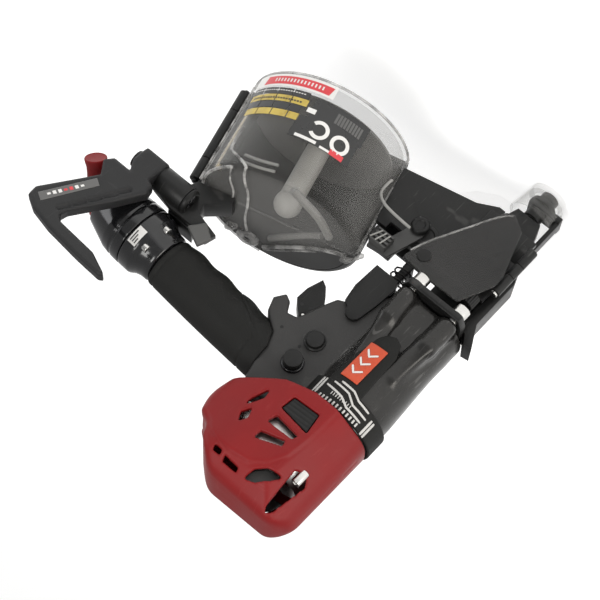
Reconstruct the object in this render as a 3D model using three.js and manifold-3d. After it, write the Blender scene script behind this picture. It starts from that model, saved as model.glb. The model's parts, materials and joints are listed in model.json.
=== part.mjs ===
// A pneumatic coil nailer of the high-pressure roofing kind, as an assembly of separate pieces.
// Millimetres, +Z up: the tool stands nose down, +X is the front and +Y the left-hand side of the user.
// Pieces are modelled about the driving axis, with Z = 0 at the face of the contact tip, and the whole
// group is moved at the end, so that its origin is the bottom centre of its bounding box.
import * as THREE from "three";
import { mergeVertices } from "three/addons/utils/BufferGeometryUtils.js";
import Module from "manifold-3d";

const wasm = await Module();
wasm.setup();

// ---------------------------------------------------------------- driving sizes
const GAP = 0.3; // between faces that touch on the real tool
const RUN = 0.4; // round a piece that turns or slides
const ROUND = 20; // sides of a medium circle
const FINE = 32; // sides of a large circle
const SMALL = 10; // sides of a small circle

const barrel = { low: 120, top: 214, lowR: 24.5, topR: 26.5, wall: 4.5 };
const sleeve = { outer: 18.5, inner: 16.4, low: 138, top: 206 };
const nailBore = 4.1; // radius of the drive channel
const bolt = { rear: -18, front: 14, side: 23, bossR: 6.4 };
const boltHead = { r: 5, height: 6.5, socketR: 2.4, socketDepth: 3.5 };
const boltShank = { r: 2.8, length: 26 };
const flange = { low: 115, thick: 4.7, rear: -26, front: 21, side: 29 };
const nose = { low: 24, rear: -13, front: 13, half: 9, counterBore: 12 };
const tip = { outer: 6.3, inner: 4.2, length: 21, collarR: 9, collarH: 3, footLow: 10 };
const arm = { legThick: 3, legHalf: 5, barLow: 99, barThick: 4, sideThick: 3 };
const riser = { x: -35, half: 3.2, top: 159 };
const guard = { thick: 6, half: 9.2, low: 52, top: 114.5 };
const dial = { r: 6, low: 93.6, thick: 9, x: 10, y: 15.8, postR: 2 };

const handle = { axisZ: 209.9, droop: 4, coreR: 13, boreR: 8.5, gripStart: 62, gripEnd: 150 };
const grip = { up: 18, side: 16, swell: 0.8 };
const web = { half: 13, slotHalf: 9.2, slotRoof: 193 };
const endFlange = {
  start: handle.gripEnd,
  lipStart: handle.gripEnd + 8,
  end: handle.gripEnd + 23,
  neckR: 17.5,
  lipR: 21.5,
};
const endCap = { length: 33, r: 22, noseR: 15 };
const ring = { r: 13, length: 3.5 };
const plug = { tilt: 62.8, turn: 24.5, baseR: 9.5, baseLength: 9 };
const plugStem = { r: 4.4, lipR: 5.1, boreR: 2.6, length: 22.5 };
const dust = { r: 6.6, wall: 1.1, low: 12, top: 26.6, end: 1.6 };

const head = { r: 20, flangeR: 26.2, flangeH: 6, top: 262, dome: 8, wall: 2.4, screwR: 1.5, screwAt: 16.4 };
const cover = { wall: 2.6, side: 31 };
const bumper = { low: 121, inner: 9 };
const piston = { thick: 12, wellR: 10, wellDepth: 5 };
const driver = { r: 3, headR: 6, low: 63 };
const valve = { r: 17.2, thick: 9, wall: 3 };

const drum = { r: 56, wall: 2.6, height: 78, floor: 2.6, tilt: 15.3, x: -138.3, z: 56.7, throat: 5.5 };
const drumHinge = { out: drum.r + 4.5, r: 4.2, pin: 1.9, knuckle: 16 };
const drumLug = drum.r - 2.2; // where a hinge lug meets the drum
const post = { r: 8, ballR: 9.3, top: 63 };
const tray = { r: drum.r - drum.wall - 4.4, thick: 2, low: 10, hubR: 11.5, hubH: 10 };

const feeder = { half: 4.6, wall: 3.2, low: 32, top: 95, drumGap: 0.5 };
const door = { thick: 5.5, low: 38, top: 92 };
const doorHinge = { x: 19.5, y: 17.5, r: 3.4, pinR: 1.5, lugLow: 60, lugTop: 70 };
const shield = { thick: 1.8, out: 24.8 };
const feedCylinder = { y: -25.5, z: 64, r: 10.5, bore: 7, rear: -74, front: -38 };
const feedPiston = { r: 6.7, rodR: 2.6, thick: 6, rear: -60, end: -32 };
const latch = { x: -45, z: 79, low: 10.5, high: 13.8, pad: 21 };

const pivot = { x: -41.5, z: 183, pinR: 2.4 }; // trigger pivot
const triggerHalf = 8.6;
const button = { x: -42.3, z: 202.7, r: 6, stemR: 3, travel: 3, thick: 4.4 };
const stem = { x: -57, r: 4, tipR: 2.4, low: 179.6, top: 199 };

const hub = { y: 17, z: 165.5, r: 9, boltR: 3, front: -164, middle: -186.4, rear: -204.6 };
const hook = { thick: 11, lean: 0.26, y: 38, leanFrom: 225 };
const tailShift = handle.gripEnd - 150; // how far a longer grip moves the pieces at the handle's end

// ---------------------------------------------------------------- materials
function material(color, roughness, metalness) {
  return new THREE.MeshStandardMaterial({ color, roughness, metalness });
}
const gunmetal = material(0x3a3837, 0.38, 0.75);
const redPlastic = material(0x96201f, 0.45, 0.0);
const rubber = material(0x20201e, 0.85, 0.0);
const blackPlastic = material(0x1b1b1a, 0.55, 0.0);
const greyPlastic = material(0x4a4a48, 0.55, 0.0);
const steel = material(0xb9b7b2, 0.3, 1.0);
const darkSteel = material(0x3c3b3a, 0.4, 0.9);
const aluminium = material(0xa8a6a2, 0.35, 0.95);
const clearPlastic = Object.assign(material(0xd8d6d0, 0.12, 0.0), { transparent: true, opacity: 0.3 });
const smokedPlastic = Object.assign(material(0x4a4a48, 0.2, 0.0), { transparent: true, opacity: 0.55 });
const whiteNylon = material(0xc9c6bd, 0.4, 0.0);
const badgeRed = material(0xd24a2a, 0.4, 0.0);

// ---------------------------------------------------------------- shapes
// A closed BufferGeometry as a manifold-3d solid.
function solid(geometry) {
  const bare = geometry.clone();
  bare.deleteAttribute("normal");
  bare.deleteAttribute("uv");
  const merged = mergeVertices(bare, 1e-4);
  return new wasm.Manifold(
    new wasm.Mesh({
      numProp: 3,
      vertProperties: new Float32Array(merged.attributes.position.array),
      triVerts: new Uint32Array(merged.index.array),
    }),
  );
}
const join = (first, ...rest) => rest.reduce((whole, next) => whole.add(next), first);
const cut = (first, ...rest) => rest.reduce((whole, next) => whole.subtract(next), first);

function box(x0, x1, y0, y1, z0, z1) {
  const geometry = new THREE.BoxGeometry(x1 - x0, y1 - y0, z1 - z0);
  return solid(geometry.translate((x0 + x1) / 2, (y0 + y1) / 2, (z0 + z1) / 2));
}
// A cylinder between two heights along an axis, at (u, v) in the two other directions, in X, Y, Z order.
function rod(axis, u, v, r, from, to, sides = ROUND, endR = r) {
  const geometry = new THREE.CylinderGeometry(endR, r, to - from, sides);
  const middle = (from + to) / 2;
  if (axis === "z") geometry.rotateX(Math.PI / 2).translate(u, v, middle);
  if (axis === "y") geometry.translate(u, middle, v);
  if (axis === "x") geometry.rotateZ(-Math.PI / 2).translate(middle, u, v);
  return solid(geometry);
}
const ball = (x, y, z, r) => solid(new THREE.SphereGeometry(r, 18, 12).translate(x, y, z));
// A profile of [radius, height] points turned about Z. It starts and ends on the axis.
function turned(profile, sides = FINE) {
  const points = profile.map(([r, z]) => new THREE.Vector2(r, z));
  return solid(new THREE.LatheGeometry(points, sides).rotateX(Math.PI / 2));
}
function outline(points) {
  return new THREE.Shape(points.map(([u, v]) => new THREE.Vector2(u, v)));
}
const extruded = (points, depth) =>
  new THREE.ExtrudeGeometry(outline(points), { depth, bevelEnabled: false, curveSegments: 6 });
// Outlines given in XZ, XY and YZ, extruded along the axis that is left.
function plateXZ(points, y0, y1) {
  return solid(extruded(points, y1 - y0).rotateX(Math.PI / 2).translate(0, y1, 0));
}
const plateXY = (points, z0, z1) => solid(extruded(points, z1 - z0).translate(0, 0, z0));
function plateYZ(points, x0, x1) {
  const geometry = extruded(points, x1 - x0);
  return solid(geometry.rotateX(Math.PI / 2).rotateZ(Math.PI / 2).translate(x0, 0, 0));
}
const arc = (x, y, r, from, to, steps) =>
  Array.from({ length: steps + 1 }, (_, i) => {
    const angle = THREE.MathUtils.degToRad(from + ((to - from) * i) / steps);
    return [x + r * Math.cos(angle), y + r * Math.sin(angle)];
  });
// The same solid placed by a matrix.
function placed(matrix, shape) {
  return shape.transform(matrix.elements);
}
// A round wire wound about Z.
function spring(r, wire, low, high, turns) {
  const point = (t) => {
    const angle = t * turns * 2 * Math.PI;
    return new THREE.Vector3(r * Math.cos(angle), r * Math.sin(angle), low + t * (high - low));
  };
  const knots = Array.from({ length: turns * 8 + 1 }, (_, i) => point(i / (turns * 8)));
  const path = new THREE.CatmullRomCurve3(knots);
  const section = new THREE.Shape(arc(0, 0, wire, 0, 300, 5).map(([u, v]) => new THREE.Vector2(u, v)));
  return new THREE.ExtrudeGeometry(section, { steps: turns * 10, extrudePath: path });
}

// ---------------------------------------------------------------- frames
const tool = new THREE.Group();
// Handle frame: z runs back along the handle from the driving axis, x is up and y left.
const handleFrame = new THREE.Group();
handleFrame.position.set(0, 0, handle.axisZ);
handleFrame.rotation.y = -THREE.MathUtils.degToRad(90 + handle.droop);
// Magazine frame: z runs up the axis of the coil from the drum's floor, x to the front.
const drumFrame = new THREE.Group();
drumFrame.position.set(drum.x, 0, drum.z);
drumFrame.rotation.y = THREE.MathUtils.degToRad(drum.tilt);
// Plug frame: z runs out along the air plug from the swivel's centre.
const plugFrame = new THREE.Group();
plugFrame.position.z = endFlange.end + endCap.length + ring.length + plug.baseLength / 2 + 2 * GAP;
plugFrame.rotation.set(0, 0, THREE.MathUtils.degToRad(90 + plug.turn));
handleFrame.add(plugFrame);
const stemFrame = new THREE.Group();
stemFrame.rotation.y = THREE.MathUtils.degToRad(plug.tilt);
plugFrame.add(stemFrame);
tool.add(handleFrame, drumFrame);
tool.updateMatrixWorld(true);

function piece(name, shape, look, frame = tool) {
  const found = shape.getMesh();
  const geometry = new THREE.BufferGeometry();
  geometry.setAttribute("position", new THREE.BufferAttribute(new Float32Array(found.vertProperties), 3));
  geometry.setIndex(new THREE.BufferAttribute(new Uint32Array(found.triVerts), 1));
  geometry.computeVertexNormals();
  const mesh = new THREE.Mesh(geometry, look);
  mesh.name = name;
  frame.add(mesh);
  return mesh;
}

const boltPlaces = [
  ["rear_left", bolt.rear, bolt.side],
  ["rear_right", bolt.rear, -bolt.side],
  ["front_left", bolt.front, bolt.side],
  ["front_right", bolt.front, -bolt.side],
];
const corners = [[1, 1], [1, -1], [-1, 1], [-1, -1]];
const screwPlaces = corners.map(([x, y]) => [x * head.screwAt, y * head.screwAt]);
// A point given by x and z in the magazine frame, as [x, z] in the tool's frame.
function fromDrum(x, z) {
  const p = new THREE.Vector3(x, 0, z).applyMatrix4(drumFrame.matrixWorld);
  return [p.x, p.z];
}

// ---------------------------------------------------------------- housing
const webEdge = [
  [-14, 124], [-14, 232], [-50, 232], [-57, 228], [-60, 216], [-60, 205], [-65, 194], [-77, 185],
  [-80, 177], [-76, 171], [-72, 173], [-68, 180], [-60, 178], [-54, 161], [-50, 152], [-44, 149],
  [-38, 146], [-30, 132], [-22, 124],
];
const triggerSlot = [
  [-75.2, 140], [-29.5, 140], [-29.5, web.slotRoof], [-64, web.slotRoof], [-70, 184], [-75.2, 178],
];
// The slot that the contact arm's riser slides in.
function riserRoom(from, to) {
  const reach = riser.half + RUN;
  return box(riser.x - reach, riser.x + reach, -reach, reach, from, to);
}
// Holes for the four long bolts.
function boltHoles(from, to) {
  return boltPlaces.map(([, x, y]) => rod("z", x, y, boltShank.r + GAP, from, to, SMALL));
}
function mainHousing() {
  const barrelSolid = turned([
    [0, barrel.low], [barrel.lowR, barrel.low], [barrel.lowR, 150], [barrel.topR, 190],
    [barrel.topR, barrel.top], [0, barrel.top],
  ]);
  const bosses = boltPlaces.map(([, x, y]) =>
    join(
      rod("z", x, y, bolt.bossR, barrel.low, barrel.low + 30, SMALL),
      rod("z", x * 0.95, y * 0.95, bolt.bossR, barrel.low + 30, barrel.low + 48, SMALL, 1.5),
    ),
  );
  const cheeks = plateXZ(webEdge, -web.half, web.half);
  const alongHandle = (from, to, r) =>
    placed(handleFrame.matrixWorld, rod("z", 0, 0, r, from, to));
  const flangeShape = placed(
    handleFrame.matrixWorld,
    turned([
      [0, endFlange.start], [endFlange.neckR, endFlange.start], [endFlange.neckR, endFlange.lipStart],
      [endFlange.lipR, endFlange.lipStart + 5], [endFlange.lipR, endFlange.end], [0, endFlange.end],
    ], ROUND),
  );
  const core = alongHandle(24, endFlange.start + 1, handle.coreR);
  const body = join(barrelSolid, ...bosses, cheeks, core, flangeShape);
  return cut(
    body,
    rod("z", 0, 0, barrel.lowR - barrel.wall, barrel.low - 1, barrel.top + 1, FINE),
    rod("z", 0, 0, head.flangeR + GAP, barrel.top, 260, FINE),
    ...screwPlaces.map(([x, y]) => rod("z", x, y, head.screwR + GAP, barrel.top - 12, barrel.top + 1, SMALL)),
    alongHandle(15, endFlange.end + 1, handle.boreR),
    plateXZ(triggerSlot, -web.slotHalf, web.slotHalf)
      .subtract(box(-45.5, -29, -web.slotHalf - 1, -riser.half - RUN, 139, 162))
      .subtract(box(-45.5, -29, riser.half + RUN, web.slotHalf + 1, 139, 162)),
    riserRoom(118, 175),
    rod("z", stem.x, 0, stem.r + RUN, web.slotRoof - 1, handle.axisZ - 4, ROUND),
    rod("y", pivot.x, pivot.z, pivot.pinR + 0.1, -web.half - 1, web.half + 1, SMALL),
    rod("y", button.x, button.z, button.stemR + RUN, 0, web.half + 1, SMALL),
    ...boltHoles(barrel.low - 1, barrel.low + 24),
  );
}
piece("main_housing", mainHousing(), gunmetal);

// ---------------------------------------------------------------- drive inside the barrel
const sleeveTube = cut(
  join(rod("z", 0, 0, sleeve.outer, sleeve.low, sleeve.top, FINE),
    rod("z", 0, 0, barrel.lowR - barrel.wall - GAP, sleeve.low + 22, sleeve.low + 25, FINE)),
  rod("z", 0, 0, sleeve.inner, sleeve.low - 1, sleeve.top + 1, FINE),
);
piece("cylinder_sleeve", sleeveTube, aluminium);
piece(
  "piston_bumper",
  cut(
    rod("z", 0, 0, sleeve.outer, bumper.low, sleeve.low - GAP, ROUND),
    rod("z", 0, 0, bumper.inner, bumper.low - 1, sleeve.low + 1, ROUND),
  ),
  rubber,
);
const pistonTop = sleeve.top - 1;
piece(
  "drive_piston",
  cut(
    rod("z", 0, 0, sleeve.inner - GAP, pistonTop - piston.thick, pistonTop, FINE),
    rod("z", 0, 0, piston.wellR, pistonTop - piston.wellDepth, pistonTop + 1, ROUND),
    rod("z", 0, 0, driver.r + GAP, pistonTop - piston.thick - 1, pistonTop, SMALL),
  ),
  aluminium,
);
piece(
  "driver_blade",
  join(
    rod("z", 0, 0, driver.r, driver.low, pistonTop - piston.wellDepth + GAP, SMALL),
    rod("z", 0, 0, driver.headR, pistonTop - piston.wellDepth + GAP, pistonTop - 2, SMALL),
  ),
  steel,
);
// The head valve closes the sleeve's top, and lifts to let air in.
const valveLow = sleeve.top + 1;
piece(
  "head_valve",
  cut(
    rod("z", 0, 0, valve.r, valveLow, valveLow + valve.thick, FINE),
    rod("z", 0, 0, 9, valveLow + valve.wall, valveLow + valve.thick + 1, ROUND),
  ),
  blackPlastic,
);
const headBore = head.r - head.wall;
piece("head_valve_spring", solid(spring(11.5, 1.1, valveLow + valve.thick + 1.6, head.top - 22, 4)), steel);
function cylinderHead() {
  const flangeTop = barrel.top + GAP + head.flangeH;
  const outside = join(
    rod("z", 0, 0, head.flangeR, barrel.top + GAP, flangeTop, FINE)
      .intersect(coverShape(cover.wall + GAP, 10)),
    turned([
      [0, flangeTop - 1], [head.r, flangeTop - 1], [head.r, head.top - head.dome], [head.r - 7, head.top],
      [0, head.top],
    ]),
  );
  const chamber = rod("z", 0, 0, headBore, barrel.top - 1, head.top - 20, FINE);
  const ports = [0, 60, 120, 180, 240, 300].map((deg) => {
    const geometry = new THREE.BoxGeometry(12, 7, 10).translate(head.r - 2, 0, head.top - 33);
    return solid(geometry.rotateZ(THREE.MathUtils.degToRad(deg + 30)));
  });
  const holeR = head.screwR + GAP;
  const holes = screwPlaces.map(([x, y]) => rod("z", x, y, holeR, barrel.top, flangeTop + 1, SMALL));
  return cut(outside, chamber, ...ports, ...holes);
}
piece("cylinder_head", cylinderHead(), aluminium);

// ---------------------------------------------------------------- red exhaust cover
// Side, plan and front outlines of the cover, drawn in by the wall for its inside.
function coverShape(inset, skirt) {
  const i = inset;
  const side = [
    [27 - i, 218 - skirt], [27 - i, 274 - i], [21 - i, 285 - i], [13 - i, 290 - i], [-31 + i, 290 - i],
    [-45 + i, 278 - i], [-60 + i, 264 - i], [-64 + i, 252], [-62 + i, 240 - skirt], [-46 + i, 228 - skirt],
    [-33, 218 - skirt],
  ];
  const plan = [
    ...arc(0, 0, 1, -62, 62, 8).map(([u, v]) => [u * (27 - i), v * (cover.side - i + 1)]),
    [-8, cover.side - i], [-30, cover.side - i - 2], [-58 + i, 23 - i], [-64 + i, 15 - i],
    [-64 + i, -15 + i], [-58 + i, -23 + i], [-30, -cover.side + i + 2], [-8, -cover.side + i],
  ];
  const face = [
    [-cover.side + i, 215 - skirt], [cover.side - i, 215 - skirt], [cover.side - i, 270 - i],
    [cover.side - 8 - i, 285 - i], [15, 290 - i], [-15, 290 - i], [-cover.side + 8 + i, 285 - i],
    [-cover.side + i, 270 - i],
  ];
  const seenFromAbove = plateXY(plan, 200, 300);
  const seenFromFront = plateYZ(face, -90, 60);
  return plateXZ(side, -60, 60).intersect(seenFromAbove).intersect(seenFromFront);
}
const windowEdge = [[-22.5, 225], [-2.2, 225.5], [-2.2, 237.5], [-22, 236.5]];
function exhaustCover() {
  const through = (points, sign) =>
    plateXZ(points, sign > 0 ? 20 : -45, sign > 0 ? 45 : -20);
  const wedges = [1, -1].flatMap((s) => [
    through([[-22, 243], [-3.5, 243.5], [-20.5, 248]], s),
    through([[-22, 252], [-5, 250.5], [-20.5, 258.5]], s),
    through([[-47, 232], [-37, 237], [-45, 236]], s),
    through([[-54, 243], [-50, 248], [-53, 249]], s),
  ]);
  const topSlots = [-12, -24, -36].map((x) => box(x - 1.6, x + 1.6, -9, 9, 270, 300));
  const frontSlots = [14, -14].map((y) => box(6, 40, y - 2.4, y + 2.4, 254, 276));
  return cut(
    coverShape(0, 0), coverShape(cover.wall, 6), through(windowEdge, 1), through(windowEdge, -1),
    ...wedges, ...topSlots, ...frontSlots,
    placed(handleFrame.matrixWorld, rod("z", 0, 0, grip.up + 1.5, 25, 120)),
  );
}
piece("exhaust_cover", exhaustCover(), redPlastic);
// The black grille that shows in the left-hand window of the cover.
function grille() {
  const plate = box(-21.6, -2.9, cover.side - cover.wall - 2.2, cover.side - 1.2, 226, 236);
  const slotY = cover.side - 2.2;
  const slots = [228, 230.6, 233.2].map((z) => box(-20.5, -4, slotY, cover.side, z, z + 1.1));
  return cut(plate, ...slots);
}
piece("exhaust_grille", grille(), blackPlastic);
piece(
  "silencer_block",
  cut(
    box(-57, -29, -14, 14, 239, 259),
    ...[-50, -42, -34].map((x) => box(x - 1.5, x + 1.5, -15, 10, 244, 256)),
  ),
  aluminium,
);

screwPlaces.forEach(([x, y], i) => {
  const seat = barrel.top + head.flangeH + 2 * GAP;
  piece(
    `head_screw_${i + 1}`,
    join(
      rod("z", x, y, head.screwR, barrel.top - 11, seat + 1, SMALL),
      rod("z", x, y, 2.4, seat, seat + 2.8, SMALL),
    ),
    steel,
  );
});

// ---------------------------------------------------------------- barrel band and badge
// The layer round the barrel between two distances out from its surface.
function barrelLayer(from, to, low, high) {
  const profile = (off) => [
    [0, low], [barrelR(low) + off, low], [barrelR(190) + off, 190], [barrelR(high) + off, high], [0, high],
  ];
  return cut(turned(profile(to)), turned(profile(from)));
}
function barrelR(z) {
  return THREE.MathUtils.mapLinear(THREE.MathUtils.clamp(z, 150, 190), 150, 190, barrel.lowR, barrel.topR);
}
const band = { thick: 2, low: 198, tip: 151 };
function barrelBand() {
  const ringPart = barrelLayer(GAP, GAP + band.thick, 150, barrel.top - 1).intersect(
    cut(
      box(-40, 40, -40, 40, band.low, barrel.top),
      box(-60, -14, -web.half - GAP, web.half + GAP, 190, 220),
    ),
  );
  const tongueEdge = [
    [-17, 200], [-14, 168], [-10, 157], [-6, 152.5], [-2, band.tip], [2, 154], [5, 163], [6, 200],
  ];
  const tongue = plateXZ(tongueEdge, 15, 40)
    .intersect(barrelLayer(GAP, GAP + band.thick, 150, barrel.top - 1));
  return join(ringPart, tongue);
}
piece("barrel_band", barrelBand(), rubber);
const badgeOut = band.thick + 2 * GAP;
const badgeEdge = [[-13, 168], [-11, 164], [-2, 163], [0, 166], [0, 193], [-13, 193]];
piece(
  "side_badge",
  plateXZ(badgeEdge, 15, 40).intersect(barrelLayer(badgeOut, badgeOut + 1, 155, 196)),
  badgeRed,
);

// ---------------------------------------------------------------- nose
// The hole for the feed door's hinge pin.
function hingeBore(from, to) {
  return rod("z", doorHinge.x, doorHinge.y, doorHinge.pinR + GAP, from, to, SMALL);
}
const flangeEdge = [
  [flange.rear, -20], [-22, -flange.side], [18, -flange.side], [flange.front, -20], [flange.front, 20],
  [18, flange.side], [-22, flange.side], [flange.rear, 20],
];
const noseEdge = [
  [nose.rear, flange.low + 1], [nose.rear, 36], [-9, nose.low], [9, nose.low], [nose.front, 36],
  [nose.front, flange.low + 1],
];
function noseBody() {
  const plate = cut(
    plateXY(flangeEdge, flange.low, flange.low + flange.thick),
    ...boltHoles(110, 125),
  );
  const block = plateXZ(noseEdge, -nose.half, nose.half);
  const hingeLug = join(
    box(6, nose.front - 0.5, nose.half - 2, doorHinge.y, doorHinge.lugLow + GAP, doorHinge.lugTop - GAP),
    box(6, doorHinge.x, nose.half + 2 * GAP, doorHinge.y, doorHinge.lugLow + GAP, doorHinge.lugTop - GAP),
    rod("z", doorHinge.x, doorHinge.y, doorHinge.r, doorHinge.lugLow + GAP, doorHinge.lugTop - GAP, SMALL),
  );
  const dialPost = rod("z", dial.x, dial.y, dial.postR, dial.low - GAP, flange.low + 1, SMALL);
  return cut(
    join(plate, block, hingeLug, dialPost),
    hingeBore(doorHinge.lugLow - 1, doorHinge.lugTop + 1),
    rod("z", 0, 0, nailBore, nose.low - 1, flange.low + 10, ROUND),
    rod("z", 0, 0, tip.outer + RUN, nose.low - 1, nose.low + nose.counterBore, ROUND),
    box(nose.rear - 1, 0, -feeder.half + 1, feeder.half - 1, 40, 92),
  );
}
piece("nose_body", noseBody(), darkSteel);
boltPlaces.forEach(([place, x, y]) => {
  const headLow = flange.low - boltHead.height - GAP;
  piece(
    `nose_bolt_${place}`,
    cut(
      join(rod("z", x, y, boltHead.r, headLow, headLow + boltHead.height, SMALL),
        rod("z", x, y, boltShank.r, headLow + boltHead.height - 0.1, headLow + boltShank.length, SMALL)),
      rod("z", x, y, boltHead.socketR, headLow - 1, headLow + boltHead.socketDepth, 6),
    ),
    steel,
  );
});
const guardX = nose.front + arm.legThick + 1.2;
const guardFoot = guardX - 0.3;
const guardEdge = [
  [guardX, guard.low + 12], [guardX, guard.top], [guardX + 4.4, guard.top], [guardX + 8.6, guard.top + 6.5],
  [guardX + 14.3, guard.top + 5.5], [guardX + 8, guard.top - 6], [guardX + guard.thick, guard.top - 10],
  [guardX + guard.thick, guard.low + 16], [guardFoot, guard.low], [guardFoot, guard.low + 9],
];
piece("front_guard", plateXZ(guardEdge, -guard.half, guard.half), blackPlastic);

// ---------------------------------------------------------------- contact arm, tip and depth dial
function contactArm() {
  const frontLow = nose.front + 0.6;
  const frontHigh = frontLow + arm.legThick;
  const rearLow = riser.x - riser.half;
  const rearHigh = riser.x + riser.half;
  const footTop = tip.footLow + arm.barThick;
  const barTop = arm.barLow + arm.barThick;
  const sideY = -nose.half - 1 - arm.sideThick;
  const bar = (x0, x1, y0, y1) => box(x0, x1, y0, y1, arm.barLow, barTop);
  const leg = box(frontLow, frontHigh, -arm.legHalf, arm.legHalf, footTop, barTop);
  const foot = box(-8, frontHigh, -7.4, 7.4, tip.footLow, footTop);
  const riserBar = box(rearLow + 0.6, rearHigh - 0.6, -riser.half, riser.half, arm.barLow, riser.top);
  return cut(
    join(
      leg, foot, riserBar,
      bar(rearLow, frontHigh, sideY, sideY + arm.sideThick),
      bar(frontLow, frontHigh, sideY, 0),
      bar(rearLow, rearHigh, sideY, riser.half),
    ),
    rod("z", 0, 0, tip.outer + GAP, tip.footLow - 1, footTop + 1, ROUND),
  );
}
piece("contact_arm", contactArm(), darkSteel);
piece(
  "contact_tip",
  cut(
    join(
      rod("z", 0, 0, tip.outer, 0, tip.length, ROUND),
      rod("z", 0, 0, tip.collarR, tip.footLow - GAP - tip.collarH, tip.footLow - GAP, ROUND),
    ),
    rod("z", 0, 0, tip.inner, -1, tip.length + 1, ROUND),
  ),
  darkSteel,
);
piece(
  "tip_skirt",
  cut(
    join(rod("z", 0, 0, 14.5, 0.8, 22, ROUND, 16.5), rod("z", 0, 0, tip.collarR + 3, 4, 7 - 2 * GAP, ROUND)),
    cut(rod("z", 0, 0, 13, 0, 23, ROUND, 15), rod("z", 0, 0, 13.6, 3.4, 6.2, ROUND)),
    rod("z", 0, 0, tip.outer + GAP, -1, 24, ROUND),
  ).subtract(box(8.5, 20, -8, 8, 8.5, 23)),
  clearPlastic,
);
piece(
  "depth_dial",
  cut(
    rod("z", dial.x, dial.y, dial.r, dial.low, dial.low + dial.thick, 20),
    rod("z", dial.x, dial.y, dial.postR + RUN, dial.low - 1, dial.low + dial.thick + 1, SMALL),
  ),
  blackPlastic,
);
const armSpring = spring(6.2, 0.7, 0, 12.4, 3).translate(riser.x, 0, arm.barLow + arm.barThick + 1.2);
piece("contact_arm_spring", solid(armSpring), steel);
// A plastic saddle on the back of the housing, which holds the arm's riser in its slot.
const guideEdge = [
  [-47, 118.5], [-30, 118.5], [-27.5, 124], [-29, 140], [-31, 152],
  ...arc(-36.5, 152.5, 5.5, 0, 180, 6), [-46, 150], [-48, 138],
];
piece(
  "contact_arm_guide",
  cut(
    plateXZ(guideEdge, -web.half - 3.4, web.half + 3.4),
    box(-60, 0, -web.half - GAP, web.half + GAP, 122.5, 170),
    riserRoom(110, 130),
    rod("z", bolt.rear, bolt.side, bolt.bossR + 1, 110, 180, SMALL),
    rod("z", bolt.rear, -bolt.side, bolt.bossR + 1, 110, 180, SMALL),
  ),
  blackPlastic,
);

// ---------------------------------------------------------------- trigger and its valve
const triggerEdge = [
  [-36.5, 187.5], [-46, 188.5], [-53, 183], [-60, 176.5], [-66, 171], [-71, 166], [-70.5, 157], [-67, 146],
  [-62.5, 148.5], [-58, 154], [-54, 161], [-49, 168], [-42, 174], [-36, 177.5],
];
const leverRoom = [[-64, 195], [-64, 169.5], [-60, 167.5], [-52, 162.5], [-30, 150], [-30, 195]];
const leverPin = { x: -60.5, z: 172.6, r: 1.2, half: 4.8 };
function trigger() {
  return cut(
    plateXZ(triggerEdge, -triggerHalf, triggerHalf),
    plateXZ(leverRoom, -leverPin.half - 0.8, leverPin.half + 0.8),
    rod("y", pivot.x, pivot.z, pivot.pinR + RUN, -20, 20, SMALL),
    rod("y", leverPin.x, leverPin.z, leverPin.r + GAP, -20, 20, SMALL),
  );
}
piece("trigger", trigger(), blackPlastic);
piece(
  "trigger_lever_pin",
  rod("y", leverPin.x, leverPin.z, leverPin.r, -triggerHalf, triggerHalf, SMALL),
  steel,
);
const leverEdge = [
  [-63, 170.6], [-63, 174.8], [-57, 174], [-34, 165.6], [-33.4, 163.4], [-57, 171.4], [-59, 170.6],
];
piece(
  "trigger_lever",
  cut(
    plateXZ(leverEdge, -leverPin.half, leverPin.half),
    rod("y", leverPin.x, leverPin.z, leverPin.r + GAP, -10, 10, SMALL),
  ),
  darkSteel,
);
piece(
  "trigger_pin",
  join(
    rod("y", pivot.x, pivot.z, pivot.pinR, -web.half - 1, web.half + 1, SMALL),
    rod("y", pivot.x, pivot.z, 5.4, web.half + GAP, web.half + 4.4, ROUND),
    rod("y", pivot.x, pivot.z, 4, -web.half - 3, -web.half - GAP, ROUND),
  ),
  blackPlastic,
);
const triggerSpring = spring(3.9, 0.5, -4.6, 4.6, 5).rotateX(Math.PI / 2).translate(pivot.x, 0, pivot.z);
piece("trigger_spring", solid(triggerSpring), steel);
piece(
  "trigger_valve_stem",
  join(
    rod("z", stem.x, 0, stem.tipR, stem.low, web.slotRoof + 1, SMALL),
    rod("z", stem.x, 0, stem.r, web.slotRoof + GAP, stem.top, ROUND),
  ),
  steel,
);
const buttonY = web.half + button.travel + 2 * GAP;
piece(
  "duster_button",
  join(
    rod("y", button.x, button.z, button.stemR, web.half - 8, buttonY + 1, SMALL),
    rod("y", button.x, button.z, button.r, buttonY, buttonY + button.thick, ROUND),
  ),
  blackPlastic,
);

// ---------------------------------------------------------------- nail feed
const drumFront = (height) => fromDrum(drum.r + feeder.drumGap, height);
const feedEdge = [
  drumFront(10), [-31, 39.5], [-18, feeder.low], [nose.rear - GAP, feeder.low], [nose.rear - GAP, feeder.top],
  [-50, feeder.top], drumFront(60),
];
function feederBody() {
  const wallY = -feeder.half - feeder.wall;
  const bridge = join(
    box(-67, -62.5, wallY, 9.8, feeder.top - 1, 102),
    box(-67, -54.6, 7.4, 9.8, 97, 102),
    box(-67, -50, wallY, -feeder.half, 90, 102),
  );
  return cut(
    join(
      plateXZ(feedEdge, wallY, -feeder.half),
      box(-70, -44, -17, wallY + 0.5, feedCylinder.z - 7, feedCylinder.z + 7),
      bridge,
    ),
    rod("x", feedCylinder.y, feedCylinder.z, feedCylinder.r + GAP, -90, 0),
    box(-38, nose.rear - 2, wallY - 1, 0, feedCylinder.z - 6.5, feedCylinder.z + 6.5),
  );
}
piece("feeder_body", feederBody(), darkSteel);
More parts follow.
